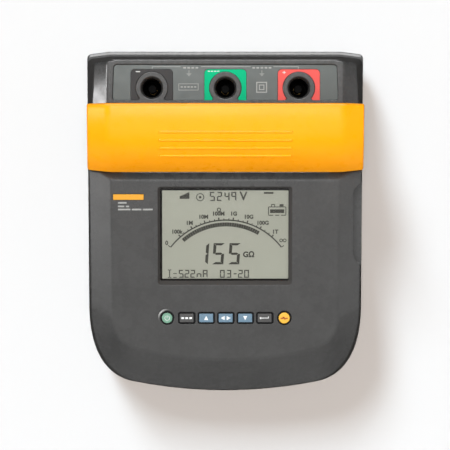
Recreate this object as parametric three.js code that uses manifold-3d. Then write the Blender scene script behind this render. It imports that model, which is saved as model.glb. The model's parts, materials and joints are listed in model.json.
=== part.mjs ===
// Insulation resistance tester: a portable high-voltage instrument that lies on its back on four feet.
// It has three recessed test sockets at one end, a bridge handle, a display and a row of seven keys.
// Frame: millimetres, +Z up out of the front face, +Y towards the sockets, and the origin at the centre
// of the footprint, on the plane the feet rest on.

import * as THREE from "three";
import { mergeVertices } from "three/addons/utils/BufferGeometryUtils.js";
import Module from "manifold-3d";

const wasm = await Module();
wasm.setup();

// ---- Driving dimensions ----

const HALF_WIDTH = 121;
const HALF_LENGTH = 148.5;
const HEIGHT = 170;
const WALL = 3;
const GAP = 0.3;
const FLATNESS = 0.03; // slivers flatter than this are merged into their neighbours

const FOOT_HEIGHT = 4; // how far the feet lift the back of the case
const WIDEST_Z = 35;
const SPLIT_Z = 62; // top of the rear case
const SEAL_THICKNESS = 1.5;
const FRONT_BASE_Z = SPLIT_Z + SEAL_THICKNESS;
const FRONT_Z = 118; // front face at the sockets and at the top of the display panel
const CREASE_X = 96; // where the flat front breaks into the side facets

// The sides close in slightly towards the key end.
const SIDE_TAPER = 0.0112;

// Display panel: it starts at PANEL_TOP_Y and falls away towards the key end.
const PANEL_TOP_Y = 35;
const PANEL_TILT = THREE.MathUtils.degToRad(6);

// Trough under the handle, where a hand goes through.
const TROUGH_FLOOR_Z = 90;
const TROUGH_END_Y = 97;
const HAND_HALF_WIDTH = 88;
const HAND_TOP_Z = 131;

// Sockets
const SOCKET_PITCH = 61.4;
const SOCKET_Y = 111.5;
const SOCKET_MOUTH = 9.85; // each socket is a funnel from this radius down to its throat
const SOCKET_THROAT = 8;
const THROAT_Z = 107;
const SHROUD_RADIUS = 9.5;
const COLLAR_RADIUS = 13.35;
const LABEL_DEPTH = 2.4;

// Keys
const KEY_PITCH = 16.4;
const KEY_ROW_Y = -117;
const KEY_PROUD = 1.1;
const KEY_MARGIN = 0.8; // clearance round a key in its opening

// Display, in panel coordinates
const VIEW = { left: -52.9, right: 52.9, bottom: -84.9, top: -8.4 };
const BEZEL = { left: 2.4, right: 3.2, bottom: 5, top: 2.1 };

// Side pocket for the charging inlet
const POCKET_X = 107.2;
const POCKET_FLOOR_Z = 72;
const INLET_Y = -10;
const INLET_Z = 88;

const MAIN_BOARD_Z = 30;

// ---- Materials ----

function plastic(color, roughness = 0.6) {
  return new THREE.MeshStandardMaterial({ color, roughness, metalness: 0 });
}

function metal(color, roughness = 0.35) {
  return new THREE.MeshStandardMaterial({ color, roughness, metalness: 1 });
}

const materials = {
  caseGrey: plastic(0x55565a, 0.55),
  panelGrey: plastic(0x6c7472, 0.5),
  handleYellow: plastic(0xf5b100, 0.4),
  black: plastic(0x232324),
  green: plastic(0x0ab47b),
  red: plastic(0xe8504b),
  keyBlue: plastic(0x7f9bb5),
  keyGreen: plastic(0x7cc0a2),
  keyYellow: plastic(0xf2b632),
  keyDark: plastic(0x48494a),
  rubber: plastic(0x1f1f20, 0.9),
  silicone: plastic(0x8d9092, 0.8),
  clear: new THREE.MeshStandardMaterial({
    color: 0xdfe6e2,
    roughness: 0.1,
    transparent: true,
    opacity: 0.35,
  }),
  liquidCrystal: plastic(0xa9ab9b, 0.35),
  white: plastic(0xe6e8e4, 0.5),
  board: plastic(0x1d5b35, 0.5),
  brass: metal(0xb9924a),
  steel: metal(0x9a9da0),
};

// ---- Geometry helpers ----

const ALONG_X = new THREE.Matrix4().makeBasis(
  new THREE.Vector3(0, 1, 0),
  new THREE.Vector3(0, 0, 1),
  new THREE.Vector3(1, 0, 0),
);
const ALONG_Y = new THREE.Matrix4().makeBasis(
  new THREE.Vector3(1, 0, 0),
  new THREE.Vector3(0, 0, 1),
  new THREE.Vector3(0, -1, 0),
);
const PANEL_MATRIX = new THREE.Matrix4()
  .makeRotationX(PANEL_TILT)
  .setPosition(0, PANEL_TOP_Y, FRONT_Z);

// A closed geometry as a manifold-3d solid.
function solidOf(geometry) {
  const bare = geometry.clone();
  bare.deleteAttribute("normal");
  bare.deleteAttribute("uv");
  const merged = mergeVertices(bare, 1e-4);
  const { array } = merged.index;
  const kept = [];
  for (let i = 0; i < array.length; i += 3) {
    const [a, b, c] = array.slice(i, i + 3);
    if (a !== b && b !== c && c !== a) kept.push(a, b, c);
  }
  const mesh = new wasm.Mesh({
    numProp: 3,
    vertProperties: merged.getAttribute("position").array,
    triVerts: new Uint32Array(kept),
  });
  return new wasm.Manifold(mesh);
}

function geometryOf(solid) {
  const mesh = solid.asOriginal().simplify(FLATNESS).getMesh();
  const geometry = new THREE.BufferGeometry();
  geometry.setAttribute("position", new THREE.BufferAttribute(mesh.vertProperties, 3));
  geometry.setIndex(new THREE.BufferAttribute(mesh.triVerts, 1));
  geometry.computeVertexNormals();
  return geometry;
}

function join(...solids) {
  return solids.reduce((whole, next) => whole.add(next));
}

function cut(solid, ...tools) {
  return tools.reduce((rest, tool) => rest.subtract(tool), solid);
}

// A box by its two corners.
function box(x0, y0, z0, x1, y1, z1, matrix) {
  const geometry = new THREE.BoxGeometry(x1 - x0, y1 - y0, z1 - z0);
  geometry.translate((x0 + x1) / 2, (y0 + y1) / 2, (z0 + z1) / 2);
  return solidOf(matrix ? geometry.applyMatrix4(matrix) : geometry);
}

// A shape pushed from z0 to z1, then carried by a matrix.
function prism(shape, z0, z1, matrix, curveSegments = 3) {
  const geometry = new THREE.ExtrudeGeometry(shape, { depth: z1 - z0, bevelEnabled: false, curveSegments });
  geometry.translate(0, 0, z0);
  return solidOf(matrix ? geometry.applyMatrix4(matrix) : geometry);
}

// A body of revolution about a vertical line through (x, y). The profile is a list of [radius, z].
function turned(profile, x = 0, y = 0, segments = 24, matrix) {
  const points = profile.map(([radius, z]) => new THREE.Vector2(radius, z));
  const geometry = new THREE.LatheGeometry(points, segments);
  geometry.rotateX(Math.PI / 2);
  geometry.translate(x, y, 0);
  return solidOf(matrix ? geometry.applyMatrix4(matrix) : geometry);
}

function cylinder(radius, z0, z1, x, y, segments = 24, matrix) {
  return turned([[0, z0], [radius, z0], [radius, z1], [0, z1]], x, y, segments, matrix);
}

function roundedRectangle(x0, y0, x1, y1, radius) {
  const shape = new THREE.Shape();
  shape.moveTo(x0 + radius, y0);
  shape.lineTo(x1 - radius, y0);
  shape.absarc(x1 - radius, y0 + radius, radius, -Math.PI / 2, 0);
  shape.lineTo(x1, y1 - radius);
  shape.absarc(x1 - radius, y1 - radius, radius, 0, Math.PI / 2);
  shape.lineTo(x0 + radius, y1);
  shape.absarc(x0 + radius, y1 - radius, radius, Math.PI / 2, Math.PI);
  shape.lineTo(x0, y0 + radius);
  shape.absarc(x0 + radius, y0 + radius, radius, Math.PI, 1.5 * Math.PI);
  return shape;
}

function circle(x, y, radius) {
  return new THREE.Shape().absarc(x, y, radius, 0, 2 * Math.PI);
}

// Points of a rounded rectangle at one height, for a loft.
function rectangleRing(x0, y0, x1, y1, radius, z, steps = 3) {
  const centres = [
    [x1 - radius, y0 + radius],
    [x1 - radius, y1 - radius],
    [x0 + radius, y1 - radius],
    [x0 + radius, y0 + radius],
  ];
  return centres.flatMap(([x, y], corner) =>
    Array.from({ length: steps + 1 }, (_, i) => {
      const angle = (corner - 1 + i / steps) * (Math.PI / 2);
      return new THREE.Vector3(x + radius * Math.cos(angle), y + radius * Math.sin(angle), z);
    }));
}

// A solid skinned over rings of points. The rings have equal counts, run counter-clockwise seen from above,
// and are listed from the lowest up.
function loft(rings, matrix) {
  const count = rings[0].length;
  const index = [];
  for (let level = 0; level < rings.length - 1; level++) {
    for (let i = 0; i < count; i++) {
      const a = level * count + i;
      const b = level * count + ((i + 1) % count);
      index.push(a, b, b + count, a, b + count, a + count);
    }
  }
  const last = (rings.length - 1) * count;
  const flat = (ring) => ring.map((p) => new THREE.Vector2(p.x, p.y));
  for (const [a, b, c] of THREE.ShapeUtils.triangulateShape(flat(rings[0]), [])) index.push(a, c, b);
  for (const [a, b, c] of THREE.ShapeUtils.triangulateShape(flat(rings.at(-1)), [])) {
    index.push(last + a, last + b, last + c);
  }
  const geometry = new THREE.BufferGeometry().setFromPoints(rings.flat());
  geometry.setIndex(index);
  return solidOf(matrix ? geometry.applyMatrix4(matrix) : geometry);
}

// ---- Case outline ----

const BOW_RADIUS = 420; // the key end is a shallow arc
const taperAt = (y) => 1 - (SIDE_TAPER * (HALF_LENGTH - y)) / HALF_WIDTH;
const frontHeight = (y) => FRONT_Z - (PANEL_TOP_Y - y) * Math.tan(PANEL_TILT);

// One ring of the case, counter-clockwise from the middle of the key end. half, top and bottom are its
// extents. corner is the reach of the large corner along X and Y, and shoulder is the far corners' chamfer
// and radius. Without a shoulder the far end is square. z is a height, or a function of y.
function caseRing({ half, top, bottom, z, corner = [38.5, 73.5], bow = BOW_RADIUS, shoulder }) {
  const [reachX, reachY] = corner;
  const bowAt = (x) => bottom + (x * x) / (2 * bow);
  const arcEnd = half - reachX;
  const arcSteps = 4;
  const right = [];
  for (let i = 1; i <= arcSteps; i++) {
    const x = (arcEnd * i) / arcSteps;
    right.push(new THREE.Vector2(x, bowAt(x)));
  }
  const start = right.pop();
  const sideStart = new THREE.Vector2(half, bottom + reachY);
  const bend = new THREE.CubicBezierCurve(
    start,
    new THREE.Vector2(arcEnd + 0.62 * reachX, bowAt(arcEnd) + (0.62 * reachX * arcEnd) / bow),
    new THREE.Vector2(half, sideStart.y - 0.61 * (sideStart.y - start.y)),
    sideStart,
  );
  right.push(...bend.getPoints(6));
  if (shoulder) {
    const { run, drop, radius } = shoulder;
    const tip = new THREE.Vector2(half, top - drop);
    const along = new THREE.Vector2(-run, drop).setLength(radius);
    const round = new THREE.QuadraticBezierCurve(
      new THREE.Vector2(half, tip.y - radius),
      tip,
      tip.clone().add(along),
    );
    right.push(...round.getPoints(3), new THREE.Vector2(half - run, top));
  } else {
    right.push(new THREE.Vector2(half, top));
  }
  const left = right.map((p) => new THREE.Vector2(-p.x, p.y)).reverse();
  const heightAt = typeof z === "function" ? z : () => z;
  return [new THREE.Vector2(0, bottom), ...right, ...left].map(
    (p) => new THREE.Vector3(p.x * taperAt(p.y), p.y, heightAt(p.y)),
  );
}

// The same rings drawn in by a wall thickness, with the floor ring raised.
function inset(rings, wall, floorRise) {
  return rings.map((ring, i) => ({
    ...ring,
    half: ring.half - wall,
    top: ring.top - wall,
    bottom: ring.bottom + wall,
    z: i === 0 ? ring.z + floorRise : ring.z,
  }));
}

// ---- Screws ----

const CASE_SCREWS = [
  [99, 118],
  [-99, 118],
  [90, -94],
  [-90, -94],
];
const HANDLE_SCREWS = [
  [101.5, 58],
  [101.5, 81],
  [-101.5, 58],
  [-101.5, 81],
];
const FEET = [
  [78, 120],
  [-78, 120],
  [66, -120],
  [-66, -120],
];

// A pan-head screw standing on its head, with a cross slot in the head.
function screw(x, y, headZ, length, radius) {
  const headRadius = 1.9 * radius;
  const headHeight = 1.2 * radius;
  const body = turned(
    [
      [0, headZ],
      [0.8 * headRadius, headZ],
      [headRadius, headZ + 0.4 * headHeight],
      [headRadius, headZ + headHeight],
      [radius, headZ + headHeight],
      [radius, headZ + length],
      [0, headZ + length],
    ],
    x, y, 10,
  );
  const slot = 0.25 * radius;
  const depth = 0.5 * headHeight;
  const reach = 0.6 * headRadius;
  const cross = join(
    box(x - reach, y - slot, headZ - 1, x + reach, y + slot, headZ + depth),
    box(x - slot, y - reach, headZ - 1, x + slot, y + reach, headZ + depth),
  );
  return cut(body, cross);
}

// ---- Rear case ----

const SHOULDER = { run: 19.5, drop: 2.5, radius: 4 };
const REAR_RINGS = [
  { z: FOOT_HEIGHT, half: 111, top: 134, bottom: -137, shoulder: SHOULDER },
  { z: 8, half: 116, top: 141, bottom: -143, shoulder: SHOULDER },
  { z: 18, half: 119.7, top: 146.5, bottom: -147, shoulder: SHOULDER },
  { z: WIDEST_Z, half: HALF_WIDTH, top: HALF_LENGTH, bottom: -HALF_LENGTH, shoulder: SHOULDER },
  { z: SPLIT_Z - 2.5, half: 119.5, top: 146.2, bottom: -146.3, shoulder: SHOULDER },
  { z: SPLIT_Z, half: 119.3, top: 143.2, bottom: -145.9, shoulder: SHOULDER },
];
const SCREW_RADIUS = 2;
const SCREW_HEAD_Z = 12;
const SCREW_LENGTH = 66;
const BATTERY = { half: 67, y0: -116, y1: -49, z0: 7.3, z1: 67.3 };
const STRAP_BOSSES = [
  [75, -82],
  [-75, -82],
];
const STRAP_BOSS_Z = 20;
const BOARD_POSTS = [
  [88, 82],
  [-88, 82],
  [88, -30],
  [-88, -30],
];

function rearCase() {
  const outer = loft(REAR_RINGS.map(caseRing));
  const hollow = inset(REAR_RINGS, WALL, WALL);
  hollow.at(-1).z += 1;
  let shell = cut(outer, loft(hollow.map(caseRing)));
  for (const [x, y] of CASE_SCREWS) shell = shell.add(cylinder(6.5, 5, SPLIT_Z, x, y, 12));
  for (const [x, y] of BOARD_POSTS) shell = shell.add(cylinder(4, 6, MAIN_BOARD_Z - GAP, x, y, 8));
  for (const [x, y] of STRAP_BOSSES) shell = shell.add(cylinder(4.5, 6, STRAP_BOSS_Z - GAP, x, y, 8));
  for (const x of [-1, 1]) {
    const side = x * (BATTERY.half + 2);
    shell = shell.add(box(side - 1, -108, 6, side + 1, -92, 22));
  }
  shell = shell.add(box(-50, BATTERY.y1 + 1, 6, 50, BATTERY.y1 + 3, 20));
  for (const [x, y] of CASE_SCREWS) {
    shell = cut(shell, cylinder(4.3, 0, 15, x, y, 12), cylinder(SCREW_RADIUS + 0.4, 0, 70, x, y, 10));
  }
  for (const [x, y] of STRAP_BOSSES) shell = cut(shell, cylinder(1.8, 10, 30, x, y, 8));
  for (const [x, y] of FEET) shell = cut(shell, cylinder(9 + GAP, 0, 5.5, x, y, 20));
  return shell;
}

// ---- Front case ----

const FACET_OUTER = 115.2; // half width at the outer edge of the side facets
const FACET_DROP = 8;
const END_DROP = 24;
const LOWER_TOP_Y = 95; // the lower block runs on under the trough

// How far the outer edge of the facets lies under the front: little along the sides, more at the key end.
function facetDrop(y) {
  const share = THREE.MathUtils.smoothstep(-y, 68, 132);
  return FACET_DROP + (END_DROP - FACET_DROP) * share;
}

function lowerRings(wall) {
  const top = LOWER_TOP_Y - wall;
  const shoulder = { run: 4.8, drop: 38, radius: 3 };
  return [
    {
      z: FRONT_BASE_Z - (wall ? 1 : 0),
      half: 119.2 - wall,
      top,
      bottom: -145.8 + wall,
      shoulder: { ...shoulder, run: 0.3 },
    },
    {
      z: (y) => frontHeight(y) - facetDrop(y) - 0.85 * wall,
      half: FACET_OUTER - 0.85 * wall,
      top,
      bottom: -144.4 + wall,
      shoulder,
    },
    {
      z: (y) => frontHeight(y) - wall,
      half: CREASE_X - 0.3 * wall,
      top,
      bottom: -116.7 + 0.5 * wall,
      corner: [22, 36.5],
      bow: 302,
      shoulder,
    },
  ].map(caseRing);
}

function topRings(wall) {
  const bottom = 80 + wall;
  const ring = (z, half, top, shoulder) => {
    const { run, drop, radius } = shoulder;
    const tip = new THREE.Vector2(half, top - drop);
    const along = new THREE.Vector2(-run, drop).setLength(radius);
    const round = new THREE.QuadraticBezierCurve(
      new THREE.Vector2(half, tip.y - radius),
      tip,
      tip.clone().add(along),
    );
    const low = new THREE.Vector2(half, bottom);
    const high = new THREE.Vector2(half - run, top);
    const right = [low, ...round.getPoints(4), high];
    const left = right.map((p) => new THREE.Vector2(-p.x, p.y)).reverse();
    return [...right, ...left].map((p) => new THREE.Vector3(p.x * taperAt(p.y), p.y, z));
  };
  return [
    ring(FRONT_BASE_Z - (wall ? 1 : 0), 119 - wall, 142.4 - wall, { run: 19.5, drop: 2.5, radius: 6 }),
    ring(FRONT_Z - 8 - 0.85 * wall, 110.7 - 0.85 * wall, 136.6 - wall, { run: 16, drop: 2, radius: 8 }),
    ring(FRONT_Z - wall, CREASE_X + 0.5 - 0.3 * wall, 132.6 - wall, { run: 6, drop: 0.5, radius: 3 }),
  ];
}

// Section of the trough under the handle, as a shape in (y, z), open above.
function troughShape(grow) {
  const shape = new THREE.Shape();
  shape.moveTo(PANEL_TOP_Y - grow, 150);
  shape.lineTo(PANEL_TOP_Y - grow, FRONT_Z);
  shape.bezierCurveTo(
    38 - grow, FRONT_Z - 2,
    41 - grow, FRONT_Z - 14,
    44 - grow, FRONT_Z - 22,
  );
  shape.quadraticCurveTo(45.5 - grow, TROUGH_FLOOR_Z - grow, 52, TROUGH_FLOOR_Z - grow);
  shape.lineTo(86, TROUGH_FLOOR_Z - grow);
  shape.quadraticCurveTo(91 + grow, TROUGH_FLOOR_Z - grow, 92.5 + grow, 95);
  shape.lineTo(TROUGH_END_Y - 0.5 + grow, FRONT_Z - 3);
  shape.lineTo(TROUGH_END_Y + 1 + grow, FRONT_Z + 0.01);
  shape.lineTo(TROUGH_END_Y + 1 + grow, 150);
  return shape;
}

// Plan of the pocket in the right side for the charging inlet.
function pocketShape(grow) {
  const x = POCKET_X - grow;
  const shape = new THREE.Shape();
  shape.moveTo(x, -24 - grow);
  shape.quadraticCurveTo(x, -31 - grow, x + 4, -34.5 - grow);
  shape.lineTo(130, -46 - grow);
  shape.lineTo(130, 50 + grow);
  shape.lineTo(x + 2, 28 + grow);
  shape.quadraticCurveTo(x, 26 + grow, x, 23 + grow);
  return shape;
}

const LABEL = { half: 17.7, bottom: 101, top: 127.2, radius: 3.5 };
const LABEL_FIELD = { half: 93.3, bottom: 101, top: 131, radius: 3 };
const SOCKETS = ["negative", "guard", "positive"];
const socketX = (i) => (i - 1) * SOCKET_PITCH;

// Plan of a collar and the neck that joins it to the border of the label field.
function collarSolid(x, grow, z0, z1) {
  const neck = 10.2 + grow;
  return join(
    cylinder(COLLAR_RADIUS + grow, z0, z1, x, SOCKET_Y, 28),
    box(x - neck, LABEL_FIELD.bottom - 1, z0, x + neck, SOCKET_Y - 6, z1),
  );
}

// A square label with round far corners.
function labelShape(x, grow) {
  const { half, bottom, top, radius } = LABEL;
  const [x0, x1, y0, y1] = [x - half - grow, x + half + grow, bottom - grow, top + grow];
  const shape = new THREE.Shape();
  shape.moveTo(x0, y0);
  shape.lineTo(x1, y0);
  shape.lineTo(x1, y1 - radius);
  shape.absarc(x1 - radius, y1 - radius, radius, 0, Math.PI / 2);
  shape.lineTo(x0 + radius, y1);
  shape.absarc(x0 + radius, y1 - radius, radius, Math.PI / 2, Math.PI);
  return shape;
}

function fieldShape(grow) {
  const { half, bottom, top, radius } = LABEL_FIELD;
  return roundedRectangle(-half - grow, bottom - grow, half + grow, top + grow, radius);
}

// ---- Keys ----

const KEYS = [
  { name: "power_key", round: 4.7, material: materials.keyGreen },
  { name: "function_key", material: materials.keyDark },
  { name: "up_key", material: materials.keyBlue },
  { name: "left_right_key", material: materials.keyBlue },
  { name: "down_key", material: materials.keyBlue },
  { name: "enter_key", material: materials.keyDark },
  { name: "test_key", round: 4.95, material: materials.keyYellow },
];
const KEY_HALF_X = 6.15;
const KEY_HALF_Y = 3.95;
const keyX = (i) => (i - 3) * KEY_PITCH;

// Segments per quarter corner of a key; a round key is a circle.
const keySegments = (key) => (key.round ? 10 : 2);

function keyShape(key, x, grow) {
  if (key.round) return circle(x, KEY_ROW_Y, key.round + grow);
  return roundedRectangle(
    x - KEY_HALF_X - grow,
    KEY_ROW_Y - KEY_HALF_Y - grow,
    x + KEY_HALF_X + grow,
    KEY_ROW_Y + KEY_HALF_Y + grow,
    1 + 0.3 * grow,
  );
}

const BADGE = { x0: -94, x1: -68, y0: -17.3, y1: -12.2, depth: 0.8 };

// Crescent-shaped indicator beside the power key.
function crescent(grow, z0, z1, matrix) {
  const x = keyX(0);
  const outside = cylinder(7.3 + grow, z0, z1, x - 0.55, KEY_ROW_Y + 0.55, 20, matrix);
  const inside = cylinder(6.7 - grow, z0 - 1, z1 + 1, x + 0.3, KEY_ROW_Y - 0.3, 20, matrix);
  return cut(outside, inside);
}

function frontCase() {
  let outer = join(loft(lowerRings(0)), loft(topRings(0)));
  outer = cut(outer, prism(troughShape(0), -140, 140, ALONG_X));
  outer = cut(outer, prism(pocketShape(0), POCKET_FLOOR_Z, 130));

  let hollow = join(loft(lowerRings(WALL)), loft(topRings(WALL)));
  hollow = cut(hollow, prism(troughShape(WALL), -140, 140, ALONG_X));
  hollow = cut(hollow, prism(pocketShape(WALL), POCKET_FLOOR_Z - WALL, 130));
  let shell = cut(outer, hollow);

  // Screw posts and the sleeves round the sockets
  for (const [x, y] of CASE_SCREWS) {
    shell = shell.add(cylinder(5.5, FRONT_BASE_Z, 112, x, y, 12).intersect(outer));
    shell = cut(shell, cylinder(SCREW_RADIUS + 0.25, FRONT_BASE_Z - 1, 84, x, y, 10));
  }
  for (let i = 0; i < 3; i++) {
    shell = shell.add(cylinder(COLLAR_RADIUS, 100, FRONT_Z - 1, socketX(i), SOCKET_Y, 28));
  }

  // Label field, left full round the collars
  let field = prism(fieldShape(0), FRONT_Z - LABEL_DEPTH, FRONT_Z + 5);
  for (let i = 0; i < 3; i++) field = cut(field, collarSolid(socketX(i), 0, FRONT_Z - 10, FRONT_Z + 10));
  shell = cut(shell, field);
  const slope = (SOCKET_MOUTH - SOCKET_THROAT) / (FRONT_Z - THROAT_Z);
  const seat = SHROUD_RADIUS + GAP;
  const bore = [
    [0, 90], [seat, 90], [seat, THROAT_Z - 0.4], [SOCKET_THROAT, THROAT_Z - 0.4],
    [SOCKET_THROAT, THROAT_Z], [SOCKET_MOUTH + slope, FRONT_Z + 1], [0, FRONT_Z + 1],
  ];
  for (let i = 0; i < 3; i++) shell = cut(shell, turned(bore, socketX(i), SOCKET_Y, 28));

  // Holes for the handle screws
  for (const [x, y] of HANDLE_SCREWS) shell = cut(shell, cylinder(2.4, 80, 95, x, y, 10));

  // Display opening with a sloping bezel, key openings, badge recess and indicator slot
  const bezelRing = (z, share) =>
    rectangleRing(
      VIEW.left - share * BEZEL.left,
      VIEW.bottom - share * BEZEL.bottom,
      VIEW.right + share * BEZEL.right,
      VIEW.top + share * BEZEL.top,
      1.2 + share,
      z,
    );
  const slopeFrom = -WALL - 1.5;
  shell = cut(shell, loft([bezelRing(slopeFrom, 0), bezelRing(-WALL, 0), bezelRing(0.5, 1.1)], PANEL_MATRIX));
  KEYS.forEach((key, i) => {
    shell = cut(shell, prism(keyShape(key, keyX(i), KEY_MARGIN), -8, 5, PANEL_MATRIX, keySegments(key)));
  });
  shell = cut(shell, crescent(0.15, -8, 5, PANEL_MATRIX));
  const { x0, x1, y0, y1, depth } = BADGE;
  shell = cut(shell, prism(roundedRectangle(x0, y0, x1, y1, 0.6), -depth, 5, PANEL_MATRIX, 2));

  // Charging inlet and infrared window in the pocket wall
  const inletHole = roundedRectangle(INLET_Y - 11, INLET_Z - 6.5, INLET_Y + 11, INLET_Z + 6.5, 4);
  const windowHole = roundedRectangle(9, INLET_Z - 4.5, 21, INLET_Z + 4.5, 1.5);
  shell = cut(shell, prism(inletHole, 100, 110, ALONG_X), prism(windowHole, 100, 110, ALONG_X));
  return shell;
}

// Strip that seals the joint between the two case halves.
function caseSeal() {
  const z0 = SPLIT_Z + 0.2;
  const z1 = FRONT_BASE_Z - 0.2;
  const ring = (amount, z) =>
    caseRing({ half: 119.2 - amount, top: 142.8 - amount, bottom: -145.8 + amount, shoulder: SHOULDER, z });
  return cut(loft([ring(1, z0), ring(1, z1)]), loft([ring(2.7, z0 - 1), ring(2.7, z1 + 1)]));
}

// ---- Handle ----

const HANDLE = { lowY: 41, highY: 96, lowZ: 132, highZ: 147, footLowY: 52, footHighY: 87 };

// The handle's sloping face in (y, z), from its low edge up to the crest.
function handleFace(wall, drop) {
  const { lowY, lowZ } = HANDLE;
  const crest = HEIGHT - drop - wall;
  const low = lowY + wall + 0.2 * drop;
  return new THREE.CubicBezierCurve(
    new THREE.Vector2(low, lowZ - 0.3 * drop),
    new THREE.Vector2(low + 0.5, lowZ + 18 - 0.8 * drop - 0.6 * wall),
    new THREE.Vector2(62, crest - 0.5),
    new THREE.Vector2(82, crest),
  );
}

// Side profile of the handle in (y, z), drawn in by a wall. drop lowers the crest towards the ends.
function handleProfile(wall, drop) {
  const { highY, highZ, footLowY, footHighY } = HANDLE;
  const foot = TROUGH_FLOOR_Z + GAP;
  const crest = HEIGHT - drop - wall;
  const edge = new THREE.CubicBezierCurve(
    new THREE.Vector2(82, crest),
    new THREE.Vector2(91 - wall, crest),
    new THREE.Vector2(highY - wall, crest - 4),
    new THREE.Vector2(highY - wall, crest - 11),
  );
  const rise = [...handleFace(wall, drop).getPoints(9), ...edge.getPoints(5).slice(1)].reverse();
  return [
    new THREE.Vector2(footLowY + wall, foot - wall),
    new THREE.Vector2(footHighY - wall, foot - wall),
    new THREE.Vector2(highY - wall, highZ - wall - 0.4 * drop),
    ...rise,
  ];
}

// The handle's full outer form, before the hand opening is cut.
function handleForm(wall) {
  const station = (half, drop, drafted) =>
    handleProfile(wall, drop).map((p) => {
      const x = drafted ? half - 0.063 * (p.y - TROUGH_FLOOR_Z) : half;
      return new THREE.Vector3(p.x, p.y, x * taperAt(p.x));
    });
  const ends = [station(CREASE_X, 0, false), station(117.6 - wall, 10, true)];
  const mirrored = ends.map((ring) => ring.map((p) => new THREE.Vector3(p.x, p.y, -p.z))).reverse();
  return loft([...mirrored, ...ends], ALONG_X);
}

// The opening for the hand, grown by a wall.
function handOpening(grow) {
  const shape = roundedRectangle(
    -HAND_HALF_WIDTH - grow, 60, HAND_HALF_WIDTH + grow, HAND_TOP_Z + grow, 18 + grow,
  );
  return prism(shape, -110, -30, ALONG_Y, 6);
}

// Four grip ribs along the face, each standing on the face's own slope.
function gripRibs() {
  return [0.507, 0.628, 0.739, 0.852].map((share) => {
    const face = handleFace(0, 0);
    const { x: y, y: z } = face.getPoint(share);
    const tangent = face.getTangent(share);
    const matrix = new THREE.Matrix4()
      .makeBasis(
        new THREE.Vector3(1, 0, 0),
        new THREE.Vector3(0, tangent.x, tangent.y),
        new THREE.Vector3(0, -tangent.y, tangent.x),
      )
      .setPosition(0, y, z);
    return box(-55, -0.95, -1, 55, 0.95, 0.7, matrix);
  });
}

function handleShell() {
  return cut(join(handleForm(0), ...gripRibs()), handleForm(WALL), handOpening(0));
}

function handleLiner() {
  const form = handleForm(WALL + GAP);
  const arch = cut(form.intersect(handOpening(WALL)), handOpening(0));
  const foot = TROUGH_FLOOR_Z + GAP;
  const block = box(-130, 40, foot, 130, 110, foot + 13);
  const feet = cut(form.intersect(block), handOpening(0));
  const floor = box(-130, 0, 0, 130, 140, foot);
  let liner = cut(join(arch, feet), floor);
  for (const [x, y] of HANDLE_SCREWS) liner = cut(liner, cylinder(2.25, 80, foot + 11, x, y, 10));
  return liner;
}

// ---- Sockets ----

// Insulating shroud: a stepped blind well, held by a flange under the case sleeve.
function socketShroud(x) {
  return turned(
    [
      [3.4, 78], [SHROUD_RADIUS, 78], [SHROUD_RADIUS, 96.5], [12.4, 96.5], [12.4, 99.7],
      [SHROUD_RADIUS, 99.7], [SHROUD_RADIUS, THROAT_Z - 0.7], [7.6, THROAT_Z - 0.7],
      [7.6, 80.5], [3.4, 80.5], [3.4, 78],
    ],
    x, SOCKET_Y, 20,
  );
}

// Brass contact tube with a solder tail.
function socketContact(x) {
  return turned(
    [
      [0, 64], [2.2, 64], [2.2, 72], [5.5, 72], [5.5, 77.6], [3.1, 77.6], [3.1, 101],
      [2.05, 101], [2.05, 84], [0, 84],
    ],
    x, SOCKET_Y, 10,
  );
}

// Insulated lead from a contact's tail down to the high-voltage module.
function highVoltageLead(x, endX) {
  const path = new THREE.CatmullRomCurve3([
    new THREE.Vector3(x, SOCKET_Y, 63.6),
    new THREE.Vector3(x, SOCKET_Y, 56),
    new THREE.Vector3((x + endX) / 2, 98, 47),
    new THREE.Vector3(endX, 77, 55),
    new THREE.Vector3(endX, 76, 50.6),
  ]);
  const geometry = new THREE.ExtrudeGeometry(circle(0, 0, 1.8), {
    steps: 10,
    extrudePath: path,
    curveSegments: 3,
    bevelEnabled: false,
  });
  return solidOf(geometry);
}

function terminalPanel() {
  const z0 = FRONT_Z - LABEL_DEPTH + 0.15;
  const z1 = FRONT_Z - 1.2;
  let plate = prism(fieldShape(-0.25), z0, z1);
  for (let i = 0; i < 3; i++) plate = cut(plate, prism(labelShape(socketX(i), 0.1), z0 - 1, z1 + 1));
  return plate;
}

function terminalLabel(i) {
  const z0 = FRONT_Z - LABEL_DEPTH + 0.15;
  const z1 = FRONT_Z - 1.1;
  const x = socketX(i);
  return cut(prism(labelShape(x, -0.2), z0, z1), collarSolid(x, 0.3, z0 - 1, z1 + 1));
}

// ---- Panel parts, in panel coordinates: z 0 is the front face ----

const KEY_TRAVEL_ROOM = 1.8;

function keySolid(key, i) {
  const x = keyX(i);
  const flangeTop = -WALL - 0.4;
  return join(
    prism(keyShape(key, x, 0), flangeTop - 0.5, KEY_PROUD, undefined, keySegments(key)),
    prism(keyShape(key, x, key.round ? 2.1 : 1.6), flangeTop - 1, flangeTop, undefined, keySegments(key)),
    cylinder(2.2, flangeTop - 1.8, flangeTop - 0.5, x, KEY_ROW_Y, 8),
  );
}

function keypadMat() {
  const z1 = -WALL - 2.2 - KEY_TRAVEL_ROOM;
  const domes = KEYS.map((key, i) =>
    turned([[0, z1 - 1], [4.2, z1 - 1], [3, z1], [0, z1]], keyX(i), KEY_ROW_Y, 8));
  return join(box(-62, KEY_ROW_Y - 9, z1 - 1.8, 62, KEY_ROW_Y + 9, z1 - 0.8), ...domes);
}

const GLASS = { half: 55.5, y0: -87.4, y1: -5.8 };

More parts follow.
